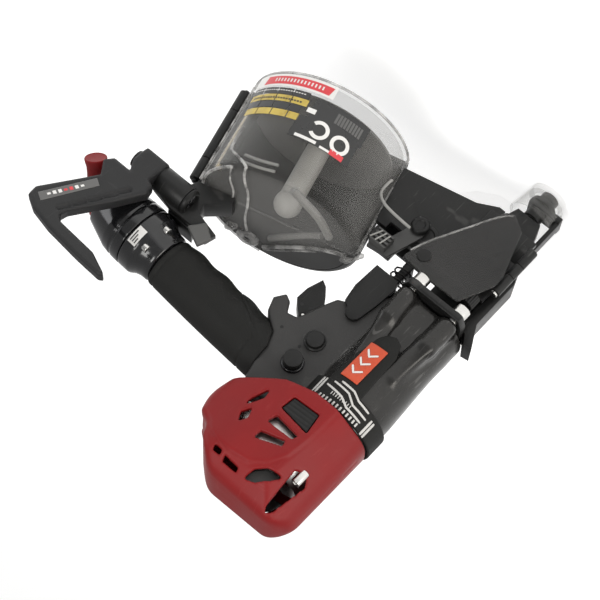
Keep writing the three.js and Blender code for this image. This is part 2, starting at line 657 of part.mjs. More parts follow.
// A rod about the feed cylinder's axis.
function alongFeed(r, from, to, sides = ROUND) {
  return rod("x", feedCylinder.y, feedCylinder.z, r, from, to, sides);
}
piece(
  "feed_cylinder",
  cut(
    alongFeed(feedCylinder.r, feedCylinder.rear, feedCylinder.front),
    alongFeed(feedCylinder.bore, feedCylinder.rear + 2, feedCylinder.front - 3),
    alongFeed(feedPiston.rodR + RUN, feedCylinder.front - 4, 0, SMALL),
  ),
  aluminium,
);
piece(
  "feed_piston",
  join(
    alongFeed(feedPiston.r, feedPiston.rear, feedPiston.rear + feedPiston.thick),
    alongFeed(feedPiston.rodR, feedPiston.rear + 1, feedPiston.end, SMALL),
  ),
  steel,
);
const feedSpring = spring(4.6, 0.7, 0, 9.6, 3)
  .rotateY(Math.PI / 2)
  .translate(feedCylinder.rear + 3, feedCylinder.y, feedCylinder.z);
piece("feed_spring", solid(feedSpring), steel);
const pawlEdge = [
  [-36.8, -29.5], [-31, -29.5], [-30.5, -22], [-29, -9], [-27.6, -5.6], [-30.5, -5.6], [-34, -9.5],
  [-36.8, -20],
];
piece(
  "feed_pawl",
  cut(
    plateXY(pawlEdge, feedCylinder.z - 5, feedCylinder.z + 5),
    rod("x", feedCylinder.y, feedCylinder.z, feedPiston.rodR + 1, -40, -26, SMALL),
  ),
  darkSteel,
);

// ---------------------------------------------------------------- feed door
function feedDoor() {
  const inner = feeder.half;
  const panel = plateXZ(feedEdge, inner, inner + door.thick)
    .intersect(box(-90, nose.rear - GAP, 0, 20, 0, door.top));
  const front = box(-20, doorHinge.x - 3, nose.half + 2 * GAP, nose.half + 4, door.low, door.top);
  const armsY = nose.half + 2 * GAP;
  const arms = box(doorHinge.x - 8, doorHinge.x, armsY, doorHinge.y, door.low + 8, door.top - 8);
  const knuckle = rod("z", doorHinge.x, doorHinge.y, doorHinge.r, door.low + 8, door.top - 8, SMALL);
  return cut(
    join(panel, front, arms, knuckle),
    hingeBore(0, 120),
    box(2, 30, 0, 40, doorHinge.lugLow, doorHinge.lugTop),
    rod("y", latch.x, latch.z, 2.2, 0, 20, SMALL),
    box(-62, -48, 0, 20, 87, 93),
  );
}
piece("feed_door", feedDoor(), darkSteel);
piece(
  "door_hinge_pin",
  join(
    rod("z", doorHinge.x, doorHinge.y, doorHinge.pinR, door.low + 7, door.top - 6, SMALL),
    rod("z", doorHinge.x, doorHinge.y, doorHinge.pinR + 1, door.top - 8 + GAP, door.top - 6, SMALL),
  ),
  steel,
);
function doorShield() {
  const inner = shield.out - shield.thick;
  const face = [
    [-36, 106], [-34, 92], [-8, 40], [-4, 38], [6, 44], [17, 76], [17, 84], [7, 107], [-17, 107.5],
  ];
  const postStart = nose.half + 4 + GAP;
  const posts = [[-10, 58], [-22, 84]].map(([x, z]) => rod("y", x, z, 2.6, postStart, inner + 1, SMALL));
  return join(plateXZ(face, inner, shield.out), ...posts);
}
piece("door_shield", doorShield(), smokedPlastic);
function doorLatch() {
  const leverSide = [
    [-50, 73], [-41, 73], [-39.5, 84], [-47, 109], [-62, 111], [-63, 99], [-54, 96], [-51, 86],
  ];
  const lever = plateXZ(leverSide, latch.low, latch.high);
  const pad = box(-62, -50, latch.high - 1, latch.pad, 99, 109);
  const grooves = [101, 104, 107].map((z) => box(-63, -49, latch.pad - 2, latch.pad + 1, z - 0.8, z + 0.8));
  const hookPart = box(-53, -49.5, 5.2, latch.low + 1, 97.4, 100.6);
  return cut(join(lever, cut(pad, ...grooves), hookPart), rod("y", latch.x, latch.z, 2.2, 0, 30, SMALL));
}
piece("door_latch", doorLatch(), greyPlastic);
piece(
  "latch_bolt",
  join(
    rod("y", latch.x, latch.z, 1.9, feeder.half + 1, latch.high + 1, SMALL),
    rod("y", latch.x, latch.z, 5, latch.high + GAP, latch.high + 3, ROUND),
  ),
  steel,
);

// ---------------------------------------------------------------- magazine
// One side of the drum's space, split along the middle: sign is 1 for the left-hand side.
function half(sign) {
  const space = box(-90, 90, GAP / 2, 90, -10, drum.height + 10);
  return sign > 0 ? space : space.mirror([0, 1, 0]);
}
function drumShell() {
  return cut(
    rod("z", 0, 0, drum.r, 0, drum.height, FINE + 8),
    rod("z", 0, 0, drum.r - drum.wall, drum.floor, drum.height - drum.floor, FINE + 8),
    box(drum.r - 11, drum.r + 4, -drum.throat, drum.throat, 5, drum.height - 5),
  );
}
const knuckles = (from, to) => rod("z", -drumHinge.out, 0, drumHinge.r, from, to, SMALL);
const hingeHole = () => rod("z", -drumHinge.out, 0, drumHinge.pin + GAP, -1, drum.height + 1, SMALL);
const boss = post.r + 5;
function magazineBase() {
  const lugs = [3, drum.height - 3 - drumHinge.knuckle].map((low) => {
    const high = low + drumHinge.knuckle;
    return join(knuckles(low, high), box(-drumHinge.out, -drumLug, -4, -1, low, high));
  });
  const shell = drumShell().intersect(half(-1));
  return cut(join(shell, rod("z", 0, 0, boss, 0, drum.floor), ...lugs), hingeHole());
}
piece("magazine_base", magazineBase(), blackPlastic, drumFrame);
function magazineCover() {
  const low = 3 + drumHinge.knuckle + RUN;
  const high = drum.height - low;
  return cut(
    join(
      cut(drumShell().intersect(half(1)), rod("z", 0, 0, boss + GAP, -1, drum.floor + 1)),
      knuckles(low, high),
      box(-drumHinge.out, -drumLug, 1, 4, low, high),
    ),
    hingeHole(),
  );
}
piece("magazine_cover", magazineCover(), clearPlastic, drumFrame);
const coverPin = rod("z", -drumHinge.out, 0, drumHinge.pin, 1, drum.height - 1, SMALL);
piece("cover_hinge_pin", coverPin, steel, drumFrame);
piece(
  "coil_post",
  join(
    rod("z", 0, 0, post.r, drum.floor + GAP, post.top, ROUND),
    ball(0, 0, post.top, post.ballR),
    rod("z", 0, 0, post.r + 3, drum.floor + GAP, drum.floor + 4, ROUND),
  ),
  whiteNylon,
  drumFrame,
);
piece(
  "nail_tray",
  cut(
    join(
      rod("z", 0, 0, tray.r, tray.low, tray.low + tray.thick, FINE),
      rod("z", 0, 0, tray.hubR, tray.low, tray.low + tray.hubH),
    ),
    rod("z", 0, 0, post.r + RUN, 0, 40),
  ),
  whiteNylon,
  drumFrame,
);
const bracketEdge = [
  [-151 - tailShift, 176.4], [-171 - tailShift, 176.4], [-180 - tailShift, 164], fromDrum(-64, 88),
  fromDrum(-56, drum.height + GAP), fromDrum(-30, drum.height + GAP), fromDrum(-30, 83),
  [-158 - tailShift, 157], [-155 - tailShift, 168],
];
piece("magazine_bracket", plateXZ(bracketEdge, -10, 7.4), darkSteel);

// ---------------------------------------------------------------- handle
function gripSleeve() {
  const run = handle.gripEnd - handle.gripStart;
  const swell = (z) => grip.side + grip.swell * Math.sin(((z - handle.gripStart) / run) * Math.PI);
  const steps = Array.from({ length: 9 }, (_, i) => 50 + ((handle.gripEnd - GAP - 50) * i) / 8);
  const side = steps.map((z) => [swell(Math.max(z, handle.gripStart)), z]);
  const outside = turned([[0, 50], ...side, [0, handle.gripEnd - GAP]], ROUND);
  return outside.scale([grip.up / grip.side, 1, 1]);
}
const gripFront = [
  [-20, 140], [-88, 140], [-88, 181], [-81, 184.4], [-77.6, 185.7], [-65.7, 194.7], [-60.6, 205],
  [-60.6, 216.4], [-57.6, 228.4], [-57, 245], [-20, 245],
];
piece(
  "grip_sleeve",
  cut(
    placed(handleFrame.matrixWorld, gripSleeve()),
    placed(handleFrame.matrixWorld, rod("z", 0, 0, handle.coreR + GAP, 0, 200)),
    plateXZ(gripFront, -40, 40),
  ),
  rubber,
);
const capStart = endFlange.end + GAP;
const capEnd = capStart + endCap.length;
piece(
  "handle_end_cap",
  cut(
    turned([
      [0, capStart], [endCap.r, capStart], [endCap.r, capStart + 8], [endCap.r - 2, capStart + 16],
      [endCap.r - 5, capStart + 24], [endCap.noseR, capEnd], [0, capEnd],
    ], 36),
    rod("z", 0, 0, 6, capStart - 1, capEnd + 1, ROUND),
    rod("z", 0, 0, endCap.r - 5, capStart - 1, capStart + 9, ROUND),
  ),
  blackPlastic,
  handleFrame,
);
piece(
  "swivel_ring",
  cut(
    rod("z", 0, 0, ring.r, capEnd + GAP, capEnd + GAP + ring.length),
    rod("z", 0, 0, 6, capEnd, capEnd + 9),
  ),
  redPlastic,
  handleFrame,
);
function airPlug() {
  const tilt = stemFrame.matrix;
  const along = (r, from, to) => placed(tilt, rod("z", 0, 0, r, from, to, SMALL));
  return cut(
    join(
      rod("z", 0, 0, plug.baseR, -plug.baseLength / 2 + GAP, 2),
      ball(0, 0, 2, plug.baseR - 0.4),
      along(plugStem.r + 2, 5, 11.5),
      along(plugStem.r, 0, plugStem.length),
      along(plugStem.lipR, plugStem.length - 6, plugStem.length - 2),
    ),
    rod("z", 0, 0, plug.baseR + 1, -20, -plug.baseLength / 2 + GAP),
    rod("z", 0, 0, plugStem.boreR, -9, 1, SMALL),
    along(plugStem.boreR, 0, plugStem.length + 1),
  );
}
stemFrame.updateMatrix();
piece("air_plug", airPlug(), blackPlastic, plugFrame);
piece(
  "dust_cap",
  cut(
    rod("z", 0, 0, dust.r, dust.low, dust.top, 20),
    rod("z", 0, 0, dust.r - dust.wall, dust.low - 1, dust.top - dust.end, 20),
  ),
  redPlastic,
  stemFrame,
);

// ---------------------------------------------------------------- belt hook
// The bracket, the arm and its bolt sit at the handle's end, and move with it.
const rearFrame = new THREE.Group();
rearFrame.position.set(-tailShift, 0, -tailShift * Math.tan(THREE.MathUtils.degToRad(handle.droop)));
tool.add(rearFrame);
// A rod about the hook's own axis.
function alongHub(r, from, to, sides = ROUND) {
  return rod("x", hub.y, hub.z, r, from, to, sides);
}
const bracketTab = [
  [-186.4, 158], [-186.4, 173], [-170, 176], [-150, 176], [-137, 179], [-135, 171], [-152, 167], [-162, 157],
];
piece(
  "hook_bracket",
  cut(
    join(plateXZ(bracketTab, 10.4, 15), alongHub(hub.r, hub.middle, hub.front)),
    alongHub(hub.boltR + GAP, -190, -160, SMALL),
    box(-200, -150, 0, 7.8, 150, 180),
  ),
  darkSteel,
  rearFrame,
);
const hookEdge = [
  [-204.6, 158.5], [-204.6, 171], [-199, 180], [-212.6, 180], [-216.2, 185.5], [-209, 195.5],
  [-228.6, 232], [-227.4, 239], [-218.6, 244], [-202.6, 247.5], [-176, 250], [-157.5, 250.8],
  [-155.5, 249.2], [-157.5, 247.7], [-171, 242], [-200.4, 240], [-204.3, 236.6], [-203.7, 231],
  [-189.3, 204], [-180.6, 185], [-182.5, 178.5], [-187.2, 176.5], [-187.2, 158.5],
];
// The blade leans outward as it rises, to pass beside the handle's end.
function hookArm() {
  const lean = new THREE.Matrix4().makeTranslation(0, -hook.lean * hook.leanFrom, 0);
  lean.elements[9] = hook.lean;
  const blade = plateXZ(hookEdge, hook.y - hook.thick / 2, hook.y + hook.thick / 2);
  return cut(
    join(placed(lean, blade), alongHub(hub.r, hub.rear, hub.middle - 2 * GAP)),
    alongHub(hub.boltR + RUN, -210, -180, SMALL),
  );
}
piece("hook_arm", hookArm(), greyPlastic, rearFrame);
piece(
  "hook_bolt",
  join(
    alongHub(hub.boltR, hub.rear - 1.4, hub.front - 1, SMALL),
    alongHub(hub.boltR * 2, hub.rear - 3.8, hub.rear - GAP),
  ),
  steel,
  rearFrame,
);

// ---------------------------------------------------------------- whole tool on its origin
const group = new THREE.Group();
group.name = "coil_nailer";
group.add(tool);
group.updateMatrixWorld(true);
const bounds = new THREE.Box3().setFromObject(group, true);
const middle = bounds.getCenter(new THREE.Vector3());
tool.position.set(-middle.x, -middle.y, -bounds.min.z);
group.updateMatrixWorld(true);

export default group;
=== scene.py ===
"""A pneumatic coil nailer for shingles, dressed around its fixed frame.

Lengths are millimetres in the tool's own frame: z runs up the driving axis from the contact tip, x to the
front of the tool and y to the user's left. A Place turns them into metres in the frame's space.
"""
import json
import math

import bpy
import bmesh
import numpy as np
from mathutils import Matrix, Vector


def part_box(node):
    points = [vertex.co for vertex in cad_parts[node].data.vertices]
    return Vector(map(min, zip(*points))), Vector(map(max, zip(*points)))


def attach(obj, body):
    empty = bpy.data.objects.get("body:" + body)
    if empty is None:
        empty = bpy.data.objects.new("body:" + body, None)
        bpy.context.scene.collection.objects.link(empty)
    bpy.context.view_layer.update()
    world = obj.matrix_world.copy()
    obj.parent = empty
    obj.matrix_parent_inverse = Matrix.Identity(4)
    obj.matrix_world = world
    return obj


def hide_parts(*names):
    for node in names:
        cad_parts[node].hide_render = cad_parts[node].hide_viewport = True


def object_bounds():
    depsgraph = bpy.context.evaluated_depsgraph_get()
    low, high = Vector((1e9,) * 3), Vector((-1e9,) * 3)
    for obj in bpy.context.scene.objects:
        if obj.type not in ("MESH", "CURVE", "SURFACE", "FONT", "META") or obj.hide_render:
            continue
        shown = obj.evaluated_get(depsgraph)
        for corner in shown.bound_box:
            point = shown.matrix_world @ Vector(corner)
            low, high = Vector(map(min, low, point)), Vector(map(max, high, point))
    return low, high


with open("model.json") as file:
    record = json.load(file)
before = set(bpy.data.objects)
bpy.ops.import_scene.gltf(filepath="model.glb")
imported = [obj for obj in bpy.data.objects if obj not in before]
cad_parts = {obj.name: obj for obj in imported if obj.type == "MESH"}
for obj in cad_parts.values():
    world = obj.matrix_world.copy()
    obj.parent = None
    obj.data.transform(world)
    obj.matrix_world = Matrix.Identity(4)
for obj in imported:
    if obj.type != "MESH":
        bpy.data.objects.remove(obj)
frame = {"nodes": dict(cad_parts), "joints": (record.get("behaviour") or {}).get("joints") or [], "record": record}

import openvdb
from mathutils import Matrix, Vector

CAD_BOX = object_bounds()
MM = 0.001
JOINTS = {j["name"]: j for j in frame["joints"]}
SLOTS = {row["node"]: row["material_slot"] for row in frame["record"]["subparts"]}


# ---------------------------------------------------------------- places
def basis(origin, x_axis, z_axis):
    """Matrix from local millimetres to metres, with its origin in metres."""
    z = Vector(z_axis).normalized()
    y = z.cross(Vector(x_axis)).normalized()
    x = y.cross(z)
    turn = Matrix((x, y, z)).transposed().to_4x4()
    return Matrix.Translation(origin) @ turn @ Matrix.Scale(MM, 4)


def middle(node):
    low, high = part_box(node)
    return (low + high) / 2


def local_box(node, place=None):
    """A node's box in millimetres of a place."""
    inverse = (place or TOOL).inverted()
    points = [inverse @ v.co for v in frame["nodes"][node].data.vertices]
    low = Vector(min(p[i] for p in points) for i in range(3))
    high = Vector(max(p[i] for p in points) for i in range(3))
    return low, high


AXIS = Vector((middle("contact_tip").x, 0, 0))
TOOL = basis(AXIS, (1, 0, 0), (0, 0, 1))
swivel = JOINTS["air_plug_swivel"]
back = Vector(swivel["axis"])
plug_at = Vector(swivel["pos_m"])
HANDLE = basis(plug_at - back * ((plug_at.x - AXIS.x) / back.x), (0, 0, 1), back)
PLUG_Z = (plug_at - HANDLE.translation).length / MM
STEM = basis(plug_at, (0, 0, -1), JOINTS["dust_cap_pull"]["axis"])
drum_axis = Vector(JOINTS["magazine_cover_swing"]["axis"])
drum_x = Vector((0, 1, 0)).cross(drum_axis)
DRUM_HINGE_X, DRUM_HINGE_Z = -60.5, 39
hinge_at = Vector(JOINTS["magazine_cover_swing"]["pos_m"])
DRUM = basis(hinge_at - MM * (DRUM_HINGE_X * drum_x + DRUM_HINGE_Z * drum_axis), drum_x, drum_axis)


def turned_place(place, origin, axis):
    """A place at a local origin whose z runs along a local axis: x, y or z."""
    turn = {"z": Matrix.Identity(4), "x": Matrix.Rotation(math.pi / 2, 4, "Y"),
            "y": Matrix.Rotation(-math.pi / 2, 4, "X")}[axis]
    return place @ Matrix.Translation(origin) @ turn


# ---------------------------------------------------------------- distance fields
class Field:
    """A grid of distances in millimetres, over a box of a place."""

    def __init__(self, low, high, step):
        count = [int(math.ceil((b - a) / step)) + 1 for a, b in zip(low, high)]
        axes = [a + step * np.arange(n, dtype=np.float32) for a, n in zip(low, count)]
        self.low, self.step, self.count = low, step, count
        self.at = (axes[0][:, None, None], axes[1][None, :, None], axes[2][None, None, :])

    def seen_from(self, place, other):
        """The grid's points in another place's millimetres."""
        m = other.inverted() @ place
        x, y, z = self.at
        return tuple(m[i][0] * x + m[i][1] * y + m[i][2] * z + m[i][3] for i in range(3))

    def mesh(self, distance):
        """Vertices in the place's millimetres, and faces that look out."""
        grid = openvdb.FloatGrid(9.0)
        grid.copyFromArray(np.array(np.broadcast_to(distance, self.count), dtype=np.float32, order="C"))
        points, triangles, quads = grid.convertToPolygons(0.0)
        points = np.array(self.low) + self.step * np.array(points)
        return points, [list(t) for t in triangles] + [list(q) for q in quads]


def blend(a, b, k):
    """Joins two shapes with a fillet of about k."""
    h = np.clip(0.5 + 0.5 * (b - a) / k, 0, 1)
    return b * (1 - h) + a * h - k * h * (1 - h)


def meet(a, b, k=0.01):
    return -blend(-a, -b, k)


def carve(a, b, k=0.6):
    """Cuts b out of a and rounds the edge by about k."""
    return -blend(-a, b, k)


def corner(qx, qy, r):
    """Distance to a region bounded by two faces, whose edge is rounded by r."""
    qx, qy = qx + r, qy + r
    out = np.sqrt(np.maximum(qx, 0) ** 2 + np.maximum(qy, 0) ** 2)
    return out + np.minimum(np.maximum(qx, qy), 0) - r


def block(at, x0, x1, y0, y1, z0, z1, r=0.8):
    q = [np.abs(p - (a + b) / 2) - (b - a) / 2 for p, a, b in zip(at, (x0, y0, z0), (x1, y1, z1))]
    return corner(corner(q[0], q[1], r), q[2], r)


def rod(at, axis, u, v, radius, start, end, r=0.6, end_radius=None):
    """A cylinder or a cone along x, y or z; u and v place it on the other two axes, in order."""
    i = "xyz".index(axis)
    across = [at[k] for k in range(3) if k != i]
    t = np.clip((at[i] - start) / (end - start), 0, 1)
    size = radius if end_radius is None else radius + (end_radius - radius) * t
    ring = np.hypot(across[0] - u, across[1] - v) - size
    return corner(ring, np.abs(at[i] - (start + end) / 2) - (end - start) / 2, r)


def limb(at, p, q, r, end_r=None):
    """A rod with round ends from p to q, which may taper."""
    d = [b - a for a, b in zip(p, q)]
    length = sum(c * c for c in d)
    t = np.clip(sum((at[i] - p[i]) * d[i] for i in range(3)) / length, 0, 1)
    away = np.sqrt(sum((at[i] - p[i] - t * d[i]) ** 2 for i in range(3)))
    return away - (r + ((r if end_r is None else end_r) - r) * t)


def outline(u, v, points):
    """Signed distance to a closed outline in a plane."""
    best = None
    sign = None
    for (ax, ay), (bx, by) in zip(points, points[1:] + points[:1]):
        ex, ey = bx - ax, by - ay
        wx, wy = u - ax, v - ay
        t = np.clip((wx * ex + wy * ey) / (ex * ex + ey * ey), 0, 1)
        gap = (wx - ex * t) ** 2 + (wy - ey * t) ** 2
        cross = ((wy >= 0) & (v < by) & (ex * wy > ey * wx)) | ((wy < 0) & (v >= by) & (ex * wy <= ey * wx))
        best = gap if best is None else np.minimum(best, gap)
        sign = np.where(cross, -1.0, 1.0) * (1.0 if sign is None else sign)
    return np.sqrt(best) * sign


def plate(at, plane, points, start, end, r=0.8, soft=0.0):
    """An outline in the xz, xy or yz plane, given depth along the third axis; soft rounds its corners."""
    i, j = ("xyz".index(c) for c in plane)
    k = 3 - i - j
    flat = outline(at[i], at[j], [tuple(p) for p in points]) - soft
    return corner(flat, np.abs(at[k] - (start + end) / 2) - (end - start) / 2, r)


# ---------------------------------------------------------------- pieces
def new_piece(name, mesh, material, body, replaced=()):
    """Puts a finished mesh, whose place is in its vertices, on a body."""
    mesh.name = name
    mesh.materials.clear()
    mesh.materials.append(material)
    piece = bpy.data.objects.new(name, mesh)
    bpy.context.scene.collection.objects.link(piece)
    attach(piece, body)
    if replaced:
        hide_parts(*replaced)
    return piece


def shaded(mesh, angle=40):
    """Smooth faces, with an edge wherever the surface turns by more than an angle."""
    mesh.shade_smooth()
    if angle < 180:
        mesh.set_sharp_from_angle(angle=math.radians(angle))


def from_field(name, field, distance, place, material, body, replaced=(), smooth=180):
    points, faces = field.mesh(distance)
    mesh = bpy.data.meshes.new(name)
    turn = np.array(place)
    world = points @ turn[:3, :3].T + turn[:3, 3]
    mesh.from_pydata(world.tolist(), [], faces)
    work = bmesh.new()
    work.from_mesh(mesh)
    if work.calc_volume(signed=True) < 0:
        bmesh.ops.reverse_faces(work, faces=work.faces)
    work.to_mesh(mesh)
    work.free()
    mesh.update()
    shaded(mesh, smooth)
    return new_piece(name, mesh, material, body, replaced)


def rounded_profile(profile, r, steps=3):
    """Rounds the corners of a closed profile by r."""
    if r <= 0:
        return profile
    points = []
    count = len(profile)
    for i, here in enumerate(profile):
        here = Vector(here)
        before, after = Vector(profile[i - 1]) - here, Vector(profile[(i + 1) % count]) - here
        on_axis = here.x < 1e-6
        reach = min(r, before.length * 0.45, after.length * 0.45)
        if on_axis or abs(before.normalized().cross(after.normalized())) < 0.15:
            points.append(tuple(here))
            continue
        a, b = here + before.normalized() * reach, here + after.normalized() * reach
        for k in range(steps + 1):
            t = k / steps
            points.append(tuple(a * (1 - t) ** 2 + here * 2 * t * (1 - t) + b * t ** 2))
    return points


def revolve(profile, place, sides=64, r=0.5, sweep=360.0, start=0.0):
    """A mesh turned about z from a closed profile of (radius, height), whole or through part of a turn."""
    points = rounded_profile([tuple(p) for p in profile], r)
    whole = sweep >= 360
    rings = sides if whole else sides + 1
    work = bmesh.new()
    columns = []
    poles = {}
    for k in range(rings):
        angle = math.radians(start + sweep * k / sides)
        column = []
        for i, (radius, height) in enumerate(points):
            if radius < 1e-6:
                if i not in poles:
                    poles[i] = work.verts.new(place @ Vector((0, 0, height)))
                column.append(poles[i])
                continue
            at = Vector((radius * math.cos(angle), radius * math.sin(angle), height))
            column.append(work.verts.new(place @ at))
        columns.append(column)
    pairs = list(zip(columns, columns[1:] + columns[:1] if whole else columns[1:]))
    for left, right in pairs:
        for i in range(len(points)):
            j = (i + 1) % len(points)
            corners = []
            for v in (left[i], left[j], right[j], right[i]):
                if v not in corners:
                    corners.append(v)
            if len(corners) > 2:
                work.faces.new(corners)
    if not whole:
        for column in (columns[0], columns[-1]):
            ends = [v for i, v in enumerate(column) if v not in column[:i]]
            work.faces.new(ends)
    return finished(work)


def finished(work, angle=38):
    """A plain mesh with merged points and faces that look out."""
    bmesh.ops.remove_doubles(work, verts=work.verts, dist=1e-7)
    bmesh.ops.recalc_face_normals(work, faces=work.faces)
    mesh = bpy.data.meshes.new("piece")
    work.to_mesh(mesh)
    work.free()
    shaded(mesh, angle)
    return mesh


def lathe(name, profile, place, material, body, slot, replaced=(), **how):
    return new_piece(name, revolve(profile, place, **how), material, body, replaced)


def tube(name, path, radius, place, material, body, replaced=(), sides=12, taper=None):
    """A round bar swept through points, with closed ends."""
    curve = bpy.data.curves.new(name, "CURVE")
    curve.dimensions = "3D"
    curve.resolution_u = 8
    curve.bevel_depth = radius * MM
    curve.bevel_resolution = max(1, sides // 4)
    curve.use_fill_caps = True
    spline = curve.splines.new("NURBS")
    spline.points.add(len(path) - 1)
    spline.use_endpoint_u = True
    spline.order_u = 3
    for k, p in enumerate(path):
        spline.points[k].co = (*(place @ Vector(p)), 1.0)
        if taper:
            spline.points[k].radius = taper[k]
    holder = bpy.data.objects.new(name, curve)
    bpy.context.scene.collection.objects.link(holder)
    bpy.context.view_layer.update()
    mesh = bpy.data.meshes.new_from_object(holder.evaluated_get(bpy.context.evaluated_depsgraph_get()))
    bpy.data.objects.remove(holder)
    work = bmesh.new()
    work.from_mesh(mesh)
    return new_piece(name, finished(work, 60), material, body, replaced)


# ---------------------------------------------------------------- materials
def node_group(name, inputs, outputs):
    tree = bpy.data.node_groups.new(name, "ShaderNodeTree")
    for label, kind, value in inputs:
        socket = tree.interface.new_socket(label, in_out="INPUT", socket_type=kind)
        socket.default_value = value
    for label, kind in outputs:
        tree.interface.new_socket(label, in_out="OUTPUT", socket_type=kind)
    return tree, tree.nodes.new("NodeGroupInput"), tree.nodes.new("NodeGroupOutput")


def noise(tree, coords, scale, detail, value=None):
    node = tree.nodes.new("ShaderNodeTexNoise")
    node.inputs["Detail"].default_value = detail
    if value is None:
        node.inputs["Scale"].default_value = scale
    else:
        tree.links.new(value, node.inputs["Scale"])
    tree.links.new(coords, node.inputs["Vector"])
    return node.outputs["Fac"]


def remap(tree, value, low, high, to_low, to_high):
    node = tree.nodes.new("ShaderNodeMapRange")
    for label, number in (("From Min", low), ("From Max", high), ("To Min", to_low), ("To Max", to_high)):
        node.inputs[label].default_value = number
    tree.links.new(value, node.inputs["Value"])
    return node.outputs["Result"]


def math_node(tree, operation, a, b):
    node = tree.nodes.new("ShaderNodeMath")
    node.operation = operation
    for socket, value in zip(node.inputs, (a, b)):
        if isinstance(value, (int, float)):
            socket.default_value = value
        else:
            tree.links.new(value, socket)
    return node.outputs[0]


def grain_group():
    """Fine moulded or cast grain: a height, and a shade from 0 to 1 that varies slowly."""
    number = "NodeSocketFloat"
    tree, given, out = node_group(
        "surface_grain",
        [("Grain Size", number, 900.0), ("Mottle Size", number, 60.0), ("Contrast", number, 1.0)],
        [("Height", number), ("Shade", number), ("Gloss Change", number)])
    coords = tree.nodes.new("ShaderNodeTexCoord").outputs["Object"]
    fine = noise(tree, coords, 0, 3, given.outputs["Grain Size"])
    slow = noise(tree, coords, 0, 4, given.outputs["Mottle Size"])
    tree.links.new(fine, out.inputs["Height"])
    spread = math_node(tree, "MULTIPLY", math_node(tree, "SUBTRACT", slow, 0.5), given.outputs["Contrast"])
    tree.links.new(math_node(tree, "ADD", spread, 0.5), out.inputs["Shade"])
    tree.links.new(math_node(tree, "MULTIPLY", spread, 0.35), out.inputs["Gloss Change"])
    return tree


def scratch_group():
    """Short fine scratches as a mask from 0 to 1."""
    number = "NodeSocketFloat"
    tree, given, out = node_group("fine_scratches", [("Amount", number, 0.3)], [("Mask", number)])
    coords = tree.nodes.new("ShaderNodeTexCoord").outputs["Object"]
    masks = []
    for stretch, turn in (((900, 40, 60), 0.4), ((50, 1100, 70), 1.1)):
        mapping = tree.nodes.new("ShaderNodeMapping")
        mapping.inputs["Scale"].default_value = stretch
        mapping.inputs["Rotation"].default_value = (turn, turn * 0.7, turn * 1.9)
        tree.links.new(coords, mapping.inputs["Vector"])
        field = noise(tree, mapping.outputs["Vector"], 1.0, 2)
        masks.append(remap(tree, field, 0.66, 0.72, 0.0, 1.0))
    both = math_node(tree, "MAXIMUM", masks[0], masks[1])
    tree.links.new(math_node(tree, "MULTIPLY", both, given.outputs["Amount"]), out.inputs["Mask"])
    return tree


GRAIN = grain_group()
SCRATCHES = scratch_group()


def surface(name, dark, light, rough, metallic=0.0, grain=900.0, bump=0.08, mottle=60.0, contrast=1.0,
            scratches=0.0, scratch_colour=(0.5, 0.5, 0.5), coat=0.0, alpha=None, edge_alpha=None, glow=0.0,
            shine=0.5):
    """A solid material: two near colours that drift into each other, fine grain, and optional scratches."""
    made = bpy.data.materials.new(name)
    made.use_nodes = True
    tree = made.node_tree
    shader = tree.nodes["Principled BSDF"]
    shader.inputs["Metallic"].default_value = metallic
    shader.inputs["Specular IOR Level"].default_value = shine
    shader.inputs["Emission Color"].default_value = (1, 1, 1, 1)
    shader.inputs["Emission Strength"].default_value = glow
    shader.inputs["Coat Weight"].default_value = coat
    shader.inputs["Coat Roughness"].default_value = 0.12
    grains = tree.nodes.new("ShaderNodeGroup")
    grains.node_tree = GRAIN
    grains.inputs["Grain Size"].default_value = grain
    grains.inputs["Mottle Size"].default_value = mottle
    grains.inputs["Contrast"].default_value = contrast
    mix = tree.nodes.new("ShaderNodeMix")
    mix.data_type = "RGBA"
    mix.inputs["A"].default_value = (*dark, 1)
    mix.inputs["B"].default_value = (*light, 1)
    tree.links.new(grains.outputs["Shade"], mix.inputs["Factor"])
    colour = mix.outputs["Result"]
    if scratches:
        marks = tree.nodes.new("ShaderNodeGroup")
        marks.node_tree = SCRATCHES
        marks.inputs["Amount"].default_value = scratches
        over = tree.nodes.new("ShaderNodeMix")
        over.data_type = "RGBA"
        over.inputs["B"].default_value = (*scratch_colour, 1)
        tree.links.new(colour, over.inputs["A"])
        tree.links.new(marks.outputs["Mask"], over.inputs["Factor"])
        colour = over.outputs["Result"]
    tree.links.new(colour, shader.inputs["Base Color"])
    tree.links.new(math_node(tree, "ADD", grains.outputs["Gloss Change"], rough), shader.inputs["Roughness"])
    relief = tree.nodes.new("ShaderNodeBump")
    relief.inputs["Strength"].default_value = bump
    relief.inputs["Distance"].default_value = 0.0004
    tree.links.new(grains.outputs["Height"], relief.inputs["Height"])
    tree.links.new(relief.outputs["Normal"], shader.inputs["Normal"])
    if alpha is not None:
        rim = tree.nodes.new("ShaderNodeLayerWeight")
        rim.inputs["Blend"].default_value = 0.35
        tree.links.new(remap(tree, rim.outputs["Facing"], 0.0, 1.0, alpha, edge_alpha),
                       shader.inputs["Alpha"])
    return made


